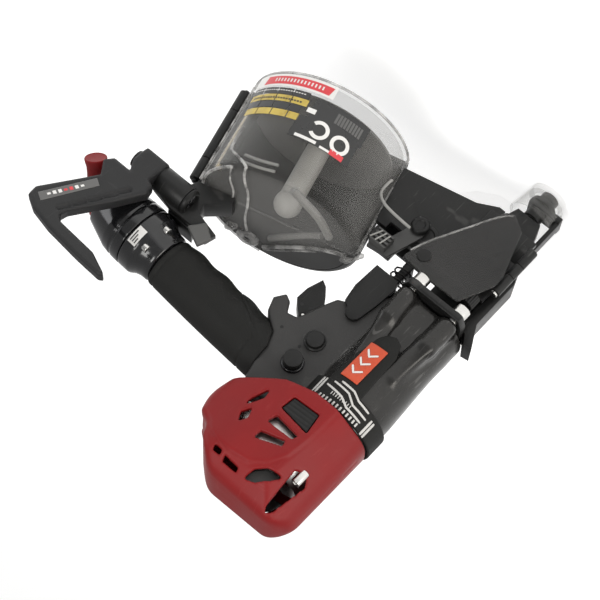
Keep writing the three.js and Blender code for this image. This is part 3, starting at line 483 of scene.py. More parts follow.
LOOK = {
    "coated_alloy": surface("coated_alloy", (0.016, 0.0155, 0.015), (0.034, 0.033, 0.031), 0.25, 0.45, 700,
                            0.05,
                            45, 1.2, 0.25, (0.20, 0.195, 0.19), shine=0.4),
    "web_alloy": surface("web_alloy", (0.022, 0.0215, 0.021), (0.036, 0.035, 0.034), 0.50, 0.15, 1100, 0.24,
                         40, 1.0,
                         shine=0.35),
    "bright_alloy": surface("bright_alloy", (0.42, 0.41, 0.40), (0.60, 0.59, 0.57), 0.30, 1.0, 1500, 0.10, 60,
                            1.0),
    "red_shell": surface("red_shell", (0.150, 0.0050, 0.0060), (0.205, 0.0080, 0.0085), 0.46, 0.0, 1600, 0.10,
                         30, 1.1,
                         0.10, (0.32, 0.06, 0.055), shine=0.22),
    "black_rubber": surface("black_rubber", (0.0055, 0.0055, 0.005), (0.010, 0.010, 0.009), 0.66, 0.0, 1900,
                            0.40, 50,
                            shine=0.22),
    "black_plastic": surface("black_plastic", (0.005, 0.005, 0.005), (0.011, 0.011, 0.0105), 0.42, 0.0, 1300,
                             0.16,
                             70, 1.0, 0.2, (0.04, 0.04, 0.04), shine=0.25),
    "gloss_black": surface("gloss_black", (0.005, 0.005, 0.0055), (0.009, 0.009, 0.010), 0.16, 0.0, 500, 0.03,
                           40, 1.0,
                           0.12, (0.03, 0.03, 0.03), coat=0.4, shine=0.35),
    "grey_plastic": surface("grey_plastic", (0.028, 0.028, 0.027), (0.045, 0.045, 0.043), 0.48, 0.0, 1500,
                            0.22, 50),
    "steel": surface("steel", (0.48, 0.47, 0.45), (0.66, 0.65, 0.63), 0.24, 1.0, 1200, 0.06, 90, 1.2),
    "dark_steel": surface("dark_steel", (0.009, 0.009, 0.009), (0.018, 0.018, 0.0175), 0.38, 0.3, 1100, 0.14,
                          60, 1.2,
                          0.3, (0.09, 0.088, 0.084), shine=0.3),
    "clear_plastic": surface("clear_plastic", (0.30, 0.295, 0.285), (0.42, 0.415, 0.40), 0.07, 0.0, 120, 0.02,
                             30, 1.0,
                             alpha=0.022, edge_alpha=0.36),
    # Clear edges, beads and lugs: real clear plastic, painted pale; the whitish colour is a painted highlight
    # standing in for light caught in the thick clear edges
    "clear_rim_painted_highlight": surface("clear_rim_painted_highlight", (0.10, 0.098, 0.095), (0.62, 0.61, 0.59), 0.05, 0.0, 260, 0.25, 120,
                         3.0,
                         alpha=0.40, edge_alpha=0.85),
    "smoked_plastic": surface("smoked_plastic", (0.010, 0.010, 0.0095), (0.026, 0.025, 0.024), 0.14, 0.0, 60,
                              0.0, 24,
                              1.6, alpha=0.70, edge_alpha=0.96, shine=0.4),
    "white_nylon": surface("white_nylon", (0.40, 0.385, 0.355), (0.52, 0.505, 0.47), 0.38, 0.0, 900, 0.08, 60,
                           1.2),
    "badge_red": surface("badge_red", (0.42, 0.052, 0.018), (0.52, 0.072, 0.028), 0.34, 0.0, 900, 0.06, 80,
                         shine=0.3),
    "pale_mark": surface("pale_mark", (0.42, 0.41, 0.39), (0.52, 0.51, 0.49), 0.45, 0.0, 1300, 0.08, 80),
    "print_white": surface("print_white", (0.62, 0.61, 0.59), (0.70, 0.69, 0.67), 0.35, 0.0, 900, 0.02, 60),
    "print_black": surface("print_black", (0.010, 0.010, 0.010), (0.022, 0.022, 0.022), 0.30, 0.0, 900, 0.02,
                           60),
    "print_red": surface("print_red", (0.48, 0.020, 0.030), (0.62, 0.045, 0.055), 0.35, 0.0, 900, 0.02, 60),
    "print_yellow": surface("print_yellow", (0.34, 0.24, 0.035), (0.52, 0.39, 0.07), 0.35, 0.0, 900, 0.02,
                            120, 2.5),
    "brass": surface("brass", (0.27, 0.225, 0.15), (0.42, 0.36, 0.25), 0.28, 1.0, 900, 0.05, 80),
    "hook_grey": surface("hook_grey", (0.011, 0.011, 0.0115), (0.018, 0.018, 0.0185), 0.52, 0.0, 1700, 0.30,
                         60, 1.0,
                         0.15, (0.05, 0.05, 0.05), shine=0.28),
    "label_grey": surface("label_grey", (0.075, 0.074, 0.072), (0.10, 0.098, 0.095), 0.35, 0.0, 900, 0.03,
                          60),
    "tab_grey": surface("tab_grey", (0.055, 0.055, 0.053), (0.075, 0.074, 0.071), 0.5, 0.0, 1300, 0.2, 50),
    "drum_dark": surface("drum_dark", (0.012, 0.012, 0.0117), (0.034, 0.033, 0.032), 0.36, 0.0, 600, 0.05, 24,
                         1.8,
                         shine=0.3),
    "tray_grey": surface("tray_grey", (0.075, 0.073, 0.068), (0.115, 0.112, 0.104), 0.45, 0.0, 900, 0.08, 30,
                         1.4),
    "frosted": surface("frosted", (0.25, 0.243, 0.225), (0.37, 0.36, 0.335), 0.45, 0.0, 800, 0.06, 40, 1.4),
    "frosted_arm": surface("frosted_arm", (0.15, 0.147, 0.137), (0.24, 0.235, 0.22), 0.4, 0.0, 800, 0.05, 60,
                           1.4),
    "pale_strip": surface("pale_strip", (0.16, 0.158, 0.15), (0.30, 0.295, 0.28), 0.3, 0.0, 800, 0.05, 90,
                          1.6),
    # painted shade: near-black for discs that stand in for the shade inside holes, and for the painted shadow tube
    # beside the brass strip
    "painted_shade_black": surface("painted_shade_black", (0.003, 0.003, 0.003), (0.006, 0.006, 0.006), 0.7, 0.0, 900, 0.05,
                           80),
}


OTHER_LOOKS = {"contact_arm_spring": "dark_steel", "trigger_spring": "dark_steel", "hook_bolt": "dark_steel",
               "cover_hinge_pin": "dark_steel"}


def dress_frame():
    """Gives every node of the frame its slot's material, merged points and a small rounded edge."""
    for name, node in frame["nodes"].items():
        node.data.materials.clear()
        node.data.materials.append(LOOK[OTHER_LOOKS.get(name, SLOTS[name])])
        weld = node.modifiers.new("merge", "WELD")
        weld.merge_threshold = 0.00001
        edge = node.modifiers.new("edge", "BEVEL")
        edge.width = 0.0004
        edge.segments = 2
        edge.limit_method = "ANGLE"
        edge.angle_limit = math.radians(38)
        node.data.shade_smooth()
        node.data.set_sharp_from_angle(angle=math.radians(38))


dress_frame()


# ---------------------------------------------------------------- repeats by geometry nodes
def repeat_tree():
    """Bars on a ring or on a line, with their section sizes as named inputs."""
    tree = bpy.data.node_groups.new("repeated_bars", "GeometryNodeTree")
    face = tree.interface
    number, whole, vector = "NodeSocketFloat", "NodeSocketInt", "NodeSocketVector"
    face.new_socket("Geometry", in_out="INPUT", socket_type="NodeSocketGeometry")
    for label, kind in (("Count", whole), ("First", vector), ("Step", vector), ("Bar Size", vector),
                        ("Ring Radius", number), ("First Angle", number), ("Angle Step", number),
                        ("Material", "NodeSocketMaterial")):
        face.new_socket(label, in_out="INPUT", socket_type=kind)
    face.new_socket("Geometry", in_out="OUTPUT", socket_type="NodeSocketGeometry")
    nodes, link = tree.nodes, tree.links.new
    given, out = nodes.new("NodeGroupInput"), nodes.new("NodeGroupOutput")
    line = nodes.new("GeometryNodeMeshLine")
    link(given.outputs["Count"], line.inputs["Count"])
    link(given.outputs["First"], line.inputs["Start Location"])
    link(given.outputs["Step"], line.inputs["Offset"])
    index = nodes.new("GeometryNodeInputIndex")
    angle = nodes.new("ShaderNodeMath")
    angle.operation = "MULTIPLY_ADD"
    link(index.outputs[0], angle.inputs[0])
    link(given.outputs["Angle Step"], angle.inputs[1])
    link(given.outputs["First Angle"], angle.inputs[2])
    spin = nodes.new("ShaderNodeCombineXYZ")
    link(angle.outputs[0], spin.inputs["Z"])
    reach = nodes.new("ShaderNodeCombineXYZ")
    link(given.outputs["Ring Radius"], reach.inputs["X"])
    swing = nodes.new("ShaderNodeVectorRotate")
    swing.rotation_type = "EULER_XYZ"
    link(reach.outputs[0], swing.inputs["Vector"])
    link(spin.outputs[0], swing.inputs["Rotation"])
    move = nodes.new("GeometryNodeSetPosition")
    link(line.outputs[0], move.inputs["Geometry"])
    link(swing.outputs[0], move.inputs["Offset"])
    bar = nodes.new("GeometryNodeMeshCube")
    link(given.outputs["Bar Size"], bar.inputs["Size"])
    copies = nodes.new("GeometryNodeInstanceOnPoints")
    link(move.outputs[0], copies.inputs["Points"])
    link(bar.outputs[0], copies.inputs["Instance"])
    link(spin.outputs[0], copies.inputs["Rotation"])
    real = nodes.new("GeometryNodeRealizeInstances")
    link(copies.outputs[0], real.inputs[0])
    paint = nodes.new("GeometryNodeSetMaterial")
    link(real.outputs[0], paint.inputs["Geometry"])
    link(given.outputs["Material"], paint.inputs["Material"])
    link(paint.outputs[0], out.inputs[0])
    return tree


REPEAT = repeat_tree()


def repeated(name, place, material, body, slot, edge=0.15, **sizes):
    """Rows or rings of small bars in a place's millimetres, made one plain mesh."""
    holder = bpy.data.objects.new(name, bpy.data.meshes.new(name))
    bpy.context.scene.collection.objects.link(holder)
    maker = holder.modifiers.new("repeat", "NODES")
    maker.node_group = REPEAT
    keys = {item.name: item.identifier for item in REPEAT.interface.items_tree if item.in_out == "INPUT"}
    defaults = {"Count": 1, "First": (0, 0, 0), "Step": (0, 0, 0), "Bar Size": (1, 1, 1), "Ring Radius": 0.0,
                "First Angle": 0.0, "Angle Step": 0.0, "Material": material}
    for label, value in {**defaults, **{k.replace("_", " "): v for k, v in sizes.items()}}.items():
        maker[keys[label]] = value
    bpy.context.view_layer.update()
    mesh = bpy.data.meshes.new_from_object(holder.evaluated_get(bpy.context.evaluated_depsgraph_get()))
    bpy.data.objects.remove(holder)
    mesh.transform(place)
    work = bmesh.new()
    work.from_mesh(mesh)
    bmesh.ops.remove_doubles(work, verts=work.verts, dist=1e-8)
    bmesh.ops.recalc_face_normals(work, faces=work.faces)
    if edge:
        bmesh.ops.bevel(work, geom=work.edges[:], offset=edge * MM, segments=2, affect="EDGES", profile=0.6)
    return new_piece(name, finished(work), material, body)


# ---------------------------------------------------------------- camera, lights and floor
def stage():
    camera = bpy.data.objects.new("camera", bpy.data.cameras.new("camera"))
    bpy.context.scene.collection.objects.link(camera)
    bpy.context.scene.camera = camera
    turn, rise, roll, distance = math.radians(16), math.radians(20), math.radians(225), 1300
    toward = Vector((math.cos(rise) * math.sin(turn), math.cos(rise) * math.cos(turn), math.sin(rise)))
    upright = (Vector((0, 0, 1)) - toward * toward.z).normalized()
    side = toward.cross(upright)
    right = math.cos(roll) * upright - math.sin(roll) * side
    above = math.sin(roll) * upright + math.cos(roll) * side
    eye = TOOL @ (Vector((-71.28, -1.47, 162.43)) + toward * distance)
    camera.matrix_world = Matrix.Translation(eye) @ Matrix((right, above, toward)).transposed().to_4x4()
    camera.data.sensor_width = 36
    camera.data.lens = 124.8
    camera.data.clip_end = 100

    def panel(name, spot, aim, size, power, colour):
        light = bpy.data.lights.new(name, "AREA")
        light.shape = "RECTANGLE"
        light.size, light.size_y = size
        light.energy = power
        light.color = colour
        lamp = bpy.data.objects.new(name, light)
        bpy.context.scene.collection.objects.link(lamp)
        lamp.location = spot
        lamp.rotation_euler = (Vector(spot) - Vector(aim)).to_track_quat("Z", "Y").to_euler()

    panel("key_panel", (0.2, 1.0, 1.6), (0, 0, 0.15), (1.0, 0.7), 17, (1, 0.99, 0.97))
    panel("front_panel", (1.4, 0.55, 0.35), (0, 0, 0.15), (0.5, 1.0), 9, (1, 0.96, 0.9))
    panel("rear_panel", (-1.5, 0.5, 0.7), (0, 0, 0.12), (0.6, 1.0), 5, (0.97, 0.98, 1))
    world = bpy.data.worlds.new("studio")
    bpy.context.scene.world = world
    world.use_nodes = True
    world.node_tree.nodes["Background"].inputs["Color"].default_value = (1, 1, 1, 1)
    world.node_tree.nodes["Background"].inputs["Strength"].default_value = 0.5
    work = bmesh.new()
    bmesh.ops.create_circle(work, cap_ends=True, segments=64, radius=30)
    mesh = bpy.data.meshes.new("floor")
    work.to_mesh(mesh)
    work.free()
    floor = bpy.data.objects.new("floor", mesh)
    floor.location.z = CAD_BOX[0][2] - 0.0006
    bpy.context.scene.collection.objects.link(floor)
    pale = surface("pale_floor", (0.90, 0.90, 0.895), (0.92, 0.92, 0.915), 0.75, 0.0, 40, 0.01, 2, 0.5,
                   glow=0.5)
    mesh.materials.append(pale)
    bpy.context.scene.view_settings.view_transform = "Standard"


stage()

# ---------------------------------------------------------------- housing
BARREL_LOW, BARREL_TOP, BARREL_LOW_R, BARREL_TOP_R = 120, 214, 24.5, 26.5
BOLTS = [(-18, 23), (-18, -23), (14, 23), (14, -23)]
WEB_HALF = 13
WEB = [(-14, 124), (-14, 232), (-50, 232), (-57, 228), (-60, 216), (-60, 205), (-65, 194), (-77, 185),
       (-80, 177),
       (-76, 171), (-72, 173), (-68, 180), (-60, 178), (-54, 161), (-50, 152), (-44, 149), (-38, 146),
       (-30, 132),
       (-22, 124)]
TRIGGER_ROOM = [(-75.2, 140), (-29.5, 140), (-29.5, 193), (-64, 193), (-70, 184), (-75.2, 178)]


def barrel_radius(z):
    return BARREL_LOW_R + (BARREL_TOP_R - BARREL_LOW_R) * np.clip((z - 150) / 40, 0, 1)


def barrel_shape(at, off, low, high, r=1.5):
    ring = np.hypot(at[0], at[1]) - barrel_radius(at[2]) - off
    return corner(ring, np.abs(at[2] - (low + high) / 2) - (high - low) / 2, r)


def valve_housing():
    """The cast housing: a barrel, four long bolt ridges, and the web that carries the trigger."""
    field = Field((-176, -33, 116), (32, 33, 236), 0.8)
    at = field.at
    along = field.seen_from(TOOL, HANDLE)
    body = barrel_shape(at, 0, BARREL_LOW, BARREL_TOP, 1.2)
    for side in (1, -1):
        facet = plate(at, "xz", [(-15, 110), (11, 110), (1, 168), (-4, 168)], side * 21.4, side * 40, 1.0,
                      1.5)
        body = carve(body,
                     facet if side > 0 else plate(at, "xz", [(-15, 110), (11, 110), (1, 168), (-4, 168)],
                                                        -40, -21.4, 1.0, 1.5), 4.5)
    cheeks = plate(at, "xz", WEB, -WEB_HALF, WEB_HALF, 2.2, 1.0)
    body = blend(body, cheeks, 4.5)
    for x, y in BOLTS:
        ridge = blend(limb(at, (x, y, 126), (x * 0.97, y * 0.98, 143), 6.4, 6.1),
                      limb(at, (x * 0.97, y * 0.98, 143), (x * 0.82, y * 0.90, 172), 6.1, 2.0), 2)
        body = blend(body, meet(ridge, BARREL_LOW - at[2], 0.8), 6.5)
    core = rod(along, "z", 0, 0, 13, 24, 151, 0.5)
    body = blend(body, core, 3)
    body = meet(body, BARREL_LOW - at[2], 0.6)
    for x, y in BOLTS:
        body = carve(body, rod(at, "z", x, y, 3.1, 110, 144, 0.2), 0.4)
    body = carve(body, rod(at, "z", 0, 0, 20, 110, 230, 0.2), 0.5)
    body = carve(body, rod(at, "z", 0, 0, 26.6, BARREL_TOP, 260, 0.2), 0.4)
    body = carve(body, rod(along, "z", 0, 0, 8.5, 15, 180, 0.2), 0.4)
    room = plate(at, "xz", TRIGGER_ROOM, -9.2, 9.2, 0.5)
    body = carve(body, room, 0.8)
    body = carve(body, block(at, -38.6, -31.4, -3.6, 3.6, 116, 175, 0.3), 0.4)
    body = carve(body, rod(at, "z", -57, 0, 4.4, 192, 206, 0.2), 0.3)
    body = carve(body, rod(at, "y", -41.5, 183, 2.6, -16, 16, 0.2), 0.3)
    body = carve(body, rod(at, "y", -42.3, 202.7, 3.4, 0, 16, 0.2), 0.3)
    lug = rod(at, "y", -41.5, 183, 7.2, -WEB_HALF - 0.2, WEB_HALF + 0.7, 0.6)
    body = blend(body, carve(lug, room, 0.4), 1.5)
    body = carve(body, rod(at, "y", -41.5, 183, 2.6, -16, 16, 0.2), 0.3)
    from_field("housing_casting", field, body, TOOL, LOOK["web_alloy"], "tool_body",
               ("main_housing",))


def housing_paint():
    """The web keeps a dull coating, and the barrel and its ridges a glossy one."""
    mesh = bpy.data.objects["housing_casting"].data
    mesh.materials.append(LOOK["coated_alloy"])
    inverse = TOOL.inverted()
    for face in mesh.polygons:
        p = inverse @ face.center
        on_barrel = abs(p.y) > WEB_HALF + 0.5 and p.x > -30 and math.hypot(p.x, p.y) > 20.4 or p.x > -18
        if on_barrel:
            face.material_index = 1


valve_housing()
housing_paint()

# ---------------------------------------------------------------- red cover
COVER_WALL = 2.6
COVER_SIDE = 31


def cover_form(at, i, skirt):
    """The cover's outside, or its inside when drawn in by i, as flat faces that meet in wide curves."""
    x, z = at[0], at[2]
    y = np.abs(at[1])

    def face(nx, ny, nz, px, py, pz):
        n = math.sqrt(nx * nx + ny * ny + nz * nz)
        return (nx * (x - px) + ny * (y - py) + nz * (z - pz)) / n + i

    form = meet(face(0, 1, 0, 0, COVER_SIDE, 0), face(0.62, 0.78, 0.06, 2, COVER_SIDE, 250), 1.6)
    form = meet(form, face(0.06, 0.80, 0.60, -14, COVER_SIDE, 275), 2.2)
    form = meet(form, face(1, 0.06, 0, 27.4, 0, 0), 8.0)
    form = meet(form, face(0, 0, 1, 0, 0, 290), 5.0)
    form = meet(form, face(0.64, 0, 0.72, 22.5, 0, 284.5), 5.0)
    form = meet(form, face(-0.66, 0, 0.75, -33, 0, 290), 4.0)
    form = meet(form, face(-1, 0.05, 0.32, -61.4, 0, 260), 4.0)
    form = meet(form, face(-1, 0.05, -0.30, -63.4, 0, 250), 4.0)
    form = meet(form, face(-0.35, 1, 0, -40, 29, 0), 4.0)
    form = meet(form, face(-0.9, 0.8, 0, -60, 21.5, 0), 4.0)
    form = carve(form, limb(at, (-57.5, -50, 276.5), (-57.5, 50, 274), 7 - min(i, 1.5)), 4.0)
    under = outline(x, z, [(-120, 330), (-120, 246 - skirt), (-64, 240 - skirt), (-46, 228 - skirt),
                           (-33, 219.5 - skirt), (-14, 214 - skirt), (6, 213.8 - skirt), (60, 213.8 - skirt),
                           (60, 330)])
    return meet(form, under, 0.8)


def slot_cut(at, x0, x1, z, side):
    """A short slot through the shoulder."""
    return meet(outline(at[0], at[2],
                        [(x0, z - 1.5), (x1, z - 1.2), (x1 + 0.6, z + 1.4), (x0 + 1, z + 1.6)]) - 0.2,
                12 - side * at[1], 0.2)


def prism_cut(at, points, side, reach=20, r=0.3, soft=0.8):
    ends = (reach, 60) if side > 0 else (-60, -reach)
    return plate(at, "xz", points, *ends, r, soft)


WINDOW = [(-22.3, 234.6), (-21.0, 225.4), (-3.6, 224.2), (-1.8, 236.8)]
WEDGES = [[(-22.6, 246.2), (-21, 241.2), (-4.6, 243), (-5.6, 245.4)],
          [(-21.8, 259), (-21.4, 254.6), (-7.6, 250.2), (-7.2, 252.8)],
          [(-40.2, 245.2), (-39.9, 241.8), (-36.2, 232.4), (-35.4, 236.8)],
          [(-36.4, 256.8), (-38.6, 252.4), (-36, 248), (-34.4, 253.2)]]
LENS = [(-10, 280.2), (-8.4, 274.4), (-3.2, 269), (4.4, 267), (1.4, 272.8), (-4.8, 278.6)]
PANEL = [(-75, 262), (-58, 266), (-50, 271), (-39, 274.5), (-28, 275.8), (-15, 273.6), (-6, 266.4),
         (0, 254.7),
         (2.4, 238), (3.6, 200), (-80, 200)]


def exhaust_shell():
    field = Field((-69.5, -35, 204), (31, 35, 293), 0.85)
    at = field.at
    along = field.seen_from(TOOL, HANDLE)
    shell = cover_form(at, 0, 0)
    raised = np.maximum(outline(at[0], at[2], PANEL) - 0.5, 14 - np.abs(at[1]))
    shell = blend(shell, meet(raised, cover_form(at, -1.7, 0), 2.4), 1.6)
    for z in (221.5, 240.5, 259.5):
        shell = carve(shell, block(at, 26.7, 40, 4, 9, z, z + 13, 0.3), 0.5)
    shell = carve(shell, cover_form(at, COVER_WALL, 6), 0.4)
    for side in (1, -1):
        for points in [WINDOW] + WEDGES:
            shell = carve(shell, prism_cut(at, points, side), 0.5)
        shell = carve(shell, prism_cut(at, LENS, side, 18), 0.5)
        for x0, x1, z0 in ((-37, -31.6, 279), (-28, -17.5, 280.4)):
            shell = carve(shell, slot_cut(at, x0, x1, z0, side), 0.4)
        tall = meet(outline(at[0], at[2],
                            [(8.2, 257.4), (10.8, 255.2), (15.6, 256.2), (17.2, 259.6), (13.2, 284.6),
                                           (11, 286.4), (9.6, 284)]) - 0.4, 12 - side * at[1], 0.2)
        shell = carve(shell, tall, 0.5)
    for x0, x1 in ((-33, -26), (-20, -11), (-5, 5)):
        shell = carve(shell, limb(at, (x0, -20.5, 289), (x1, -20.5, 289), 1.7), 0.4)
    grip_room = np.hypot(along[0], along[1]) - 19.5
    shell = carve(shell, np.maximum(grip_room, np.maximum(25 - along[2], along[2] - 120)), 0.8)
    from_field("red_cover", field, shell, TOOL, LOOK["red_shell"], "tool_body",
               ("exhaust_cover",))


def cover_details():
    """The ribbed window, and what shows through the cover's slots."""
    field = Field((-26, 24, 221), (1, 34, 240), 0.4)
    at = field.at
    pad = plate(at, "xz", WINDOW, 26, COVER_SIDE + 0.6, 0.8, 0.4)
    for k in range(4):
        z = 226.2 + 2.7 * k
        row = limb(at, (-23, COVER_SIDE + 1.2, z + 1.6), (0, COVER_SIDE + 1.2, z), 0.75)
        pad = carve(pad, row, 0.4)
    from_field("window_grille", field, pad, TOOL, LOOK["black_plastic"], "tool_body",
               ("exhaust_grille",))
    mirrored = TOOL @ Matrix.Diagonal((1, -1, 1, 1))
    from_field("window_grille_right", field, pad, mirrored, LOOK["black_plastic"], "tool_body")
    for side, tag in ((1, "left"), (-1, "right")):
        place = turned_place(TOOL, (12.2, side * 20.2, 252.6), "z")
        lathe(f"cover_bolt_{tag}", [(0, 0), (3.2, 0), (3.2, 9.4), (1.8, 9.4), (1.6, 7.5), (0, 7.5)], place,
              LOOK["steel"],
              "tool_body", "steel", r=0.5, sides=40)
        lens = Field((-15, 18, 262), (9, 26, 284), 0.5)
        behind = plate(lens.at, "xz",
                       [(-12.4, 281.6), (-10.4, 273), (-5, 267), (6.4, 265), (4, 273), (-4, 281)],
                       20.6, 23.0, 0.4)
        turned = TOOL if side > 0 else mirrored
        from_field(f"cover_insert_{tag}", lens, behind, turned, LOOK["grey_plastic"], "tool_body")
    for side, tag in ((1, "left"), (-1, "right")):
        glint = Field((-27, 20, 237), (-1, 28, 262), 0.5)
        sheet = plate(glint.at, "xz", [(-26, 238.5), (-2, 240), (-3, 257), (-25, 261)], 23.6, 25.0, 0.4)
        from_field(f"inner_sheet_{tag}", glint, sheet, TOOL if side > 0 else mirrored, LOOK["bright_alloy"],
                   "tool_body")


exhaust_shell()
cover_details()


# ---------------------------------------------------------------- barrel band and badge
BAND_LOW, BAND_OUT = 198, 2.3
TONGUE = [(-17, 203), (-15, 170), (-12.4, 160), (-8, 154.4), (-3, 152.6), (2, 155), (5.4, 163), (7, 203)]


def barrel_band():
    field = Field((-31, -31, 148), (31, 31, 217), 0.7)
    at = field.at
    ring = meet(barrel_shape(at, BAND_OUT, BAND_LOW, BARREL_TOP - 1, 0.5),
                -block(at, -60, -13, -WEB_HALF - 0.3, WEB_HALF + 0.3, 180, 230, 0.2), 0.5)
    tongue = meet(plate(at, "xz", TONGUE, 10, 40, 0.5, 0.5), barrel_shape(at, BAND_OUT - 0.1, 148, 203, 0.5),
                  0.7)
    band = blend(ring, tongue, 0.8)
    band = carve(band, np.hypot(at[0], at[1]) - barrel_radius(at[2]) - 0.3, 0.1)
    from_field("rubber_band", field, band, TOOL, LOOK["black_rubber"], "tool_body",
               ("barrel_band",), smooth=60)


def on_barrel(degrees, z, off):
    """A point off the barrel's surface, turned from the left-hand side towards the front."""
    r = float(barrel_radius(np.float64(z))) + off
    return Vector((r * math.sin(math.radians(degrees)), r * math.cos(math.radians(degrees)), z))


def surface_bar(name, path, width, off, thick, material, spot=on_barrel):
    """A flat bar laid on a curved surface along (degrees, z) points."""
    fine = []
    for (a0, z0), (a1, z1) in zip(path, path[1:]):
        fine += [(a0 + (a1 - a0) * k / 6, z0 + (z1 - z0) * k / 6) for k in range(6)]
    fine.append(path[-1])
    work = bmesh.new()
    rings = []
    for k, (a, z) in enumerate(fine):
        low, high = fine[max(k - 1, 0)], fine[min(k + 1, len(fine) - 1)]
        tangent = (spot(*high, off) - spot(*low, off)).normalized()
        out = (spot(a, z, off + 1) - spot(a, z, off)).normalized()
        across = tangent.cross(out).normalized() * width / 2
        taper = 0.72 if k in (0, len(fine) - 1) else 1.0
        low_mid, high_mid = spot(a, z, off), spot(a, z, off + thick)
        rings.append([work.verts.new(TOOL @ p) for p in
                      (low_mid - across * taper, low_mid + across * taper, high_mid + across * 0.8 * taper,
                       high_mid - across * 0.8 * taper)])
    for a, b in zip(rings, rings[1:]):
        for i in range(4):
            work.faces.new((a[i], a[(i + 1) % 4], b[(i + 1) % 4], b[i]))
    work.faces.new(rings[0])
    work.faces.new(list(reversed(rings[-1])))
    new_piece(name, finished(work, 50), material, "tool_body")


def band_marks():
    """Pale chevrons, ticks and short bars moulded on the band, and the plain badge."""
    off = BAND_OUT - 0.1
    chevrons = [[(-31, 202.6), (-4, 204.6), (9, 208.0), (34, 208.5)],
                [(-25, 198.9), (0, 200.2), (13, 204.2), (37, 204.6)],
                [(-17, 196.4), (3, 197.0), (15, 199.8), (34, 200.4)]]
    for k, path in enumerate(chevrons):
        surface_bar(f"chevron_{k + 1}", path, 1.5, off, 0.35, LOOK["pale_mark"])
    for k, (a, z) in enumerate([(44, 201.5), (49, 201.5)]):
        surface_bar(f"front_bar_{k + 1}", [(a, z), (a, z + 11.5)], 1.9, off, 0.35, LOOK["pale_mark"])
    for k, a in enumerate((-37, -42)):
        surface_bar(f"rear_bar_{k + 1}", [(a, 199), (a, 211)], 1.7, off, 0.35, LOOK["pale_mark"])
    repeated("band_ticks", TOOL, LOOK["pale_mark"], "tool_body", "white_nylon", 0.12, Count=12,
             First=(0, 0, 211.2), Bar_Size=(0.8, 1.2, 2.6), Ring_Radius=BARREL_TOP_R + BAND_OUT,
             First_Angle=math.radians(58), Angle_Step=math.radians(5.4))
    repeated("band_fine_ticks", TOOL, LOOK["pale_mark"], "tool_body", "white_nylon", 0.1, Count=9,
             First=(0, 0, 206.2), Step=(0, 0, 0.0), Bar_Size=(0.7, 0.5, 2.2),
             Ring_Radius=BARREL_TOP_R + BAND_OUT - 0.05,
             First_Angle=math.radians(78), Angle_Step=math.radians(3.6))
    field = Field((-17, 22, 158), (4, 32, 197), 0.35)
    at = field.at
    low, high = local_box("side_badge")
    edge = [(low.x + 0.4, low.z + 1.4), (high.x - 0.4, low.z + 1.4), (high.x - 0.4, high.z - 0.4),
            (low.x + 0.4, high.z - 0.4)]
    badge = meet(plate(at, "xz", edge, 15, 40, 0.3, 0.4), barrel_shape(at, BAND_OUT + 0.9, 150, 200, 0.2),
                 0.3)
    badge = carve(badge, np.hypot(at[0], at[1]) - barrel_radius(at[2]) - BAND_OUT - 0.1, 0.1)
    from_field("badge_plate", field, badge, TOOL, LOOK["badge_red"], "tool_body",
               ("side_badge",), 50)
    for k in range(3):
        z = 171.5 + 7.2 * k
        surface_bar(f"badge_mark_{k + 1}", [(-22, z - 2.0), (-14, z + 2.2), (-5.5, z - 1.6)], 1.6,
                    BAND_OUT + 0.75, 0.45,
                    LOOK["steel"])


barrel_band()
band_marks()


# ---------------------------------------------------------------- handle
GRIP_FRONT = [(-20, 140), (-88, 140), (-88, 181), (-81, 184.4), (-77.6, 185.7), (-65.7, 194.7), (-60.6, 205),
              (-60.6, 216.4), (-57.6, 228.4), (-57, 245), (-20, 245)]


def grip_sleeve():
    """The rubber sleeve: an oval that swells in the palm, with finger waves below and a seam in front."""
    field = Field((-153, -21, 168), (-54, 21, 238), 0.75)
    at = field.at
    u, v, w = field.seen_from(TOOL, HANDLE)
    run = np.clip((w - 62) / 88, 0, 1)
    swell = 0.9 * np.sin(run * math.pi)
    waves = 0.55 * np.cos((w - 70) / 88 * math.pi * 8) * np.clip(-u / 18, 0, 1) * np.clip((w - 66) / 8, 0, 1)
    flare = 2.4 * np.clip((66 - w) / 16, 0, 1) ** 2 * np.clip(-u / 18, 0, 1)
    up, side = 18 + 0.6 * swell, 16 + swell
    ring = (np.sqrt((u / up) ** 2 + (v / side) ** 2) - 1) * side - waves - flare
    sleeve = corner(ring, np.maximum(50 - w, w - 149.4), 0.8)
    front = outline(at[0], at[2], GRIP_FRONT)
    sleeve = carve(sleeve, front, 0.9)
    seam = np.abs(front - 11.5) - 0.45
    sleeve = carve(sleeve, np.maximum(seam, -ring - 0.55), 0.4)
    end_seam = np.abs(w - 145.5) - 0.5
    sleeve = carve(sleeve, np.maximum(end_seam, -ring - 0.5), 0.4)
    sleeve = carve(sleeve, np.hypot(u, v) - 13.4, 0.2)
    from_field("rubber_grip", field, sleeve, TOOL, LOOK["black_rubber"], "tool_body",
               ("grip_sleeve",))


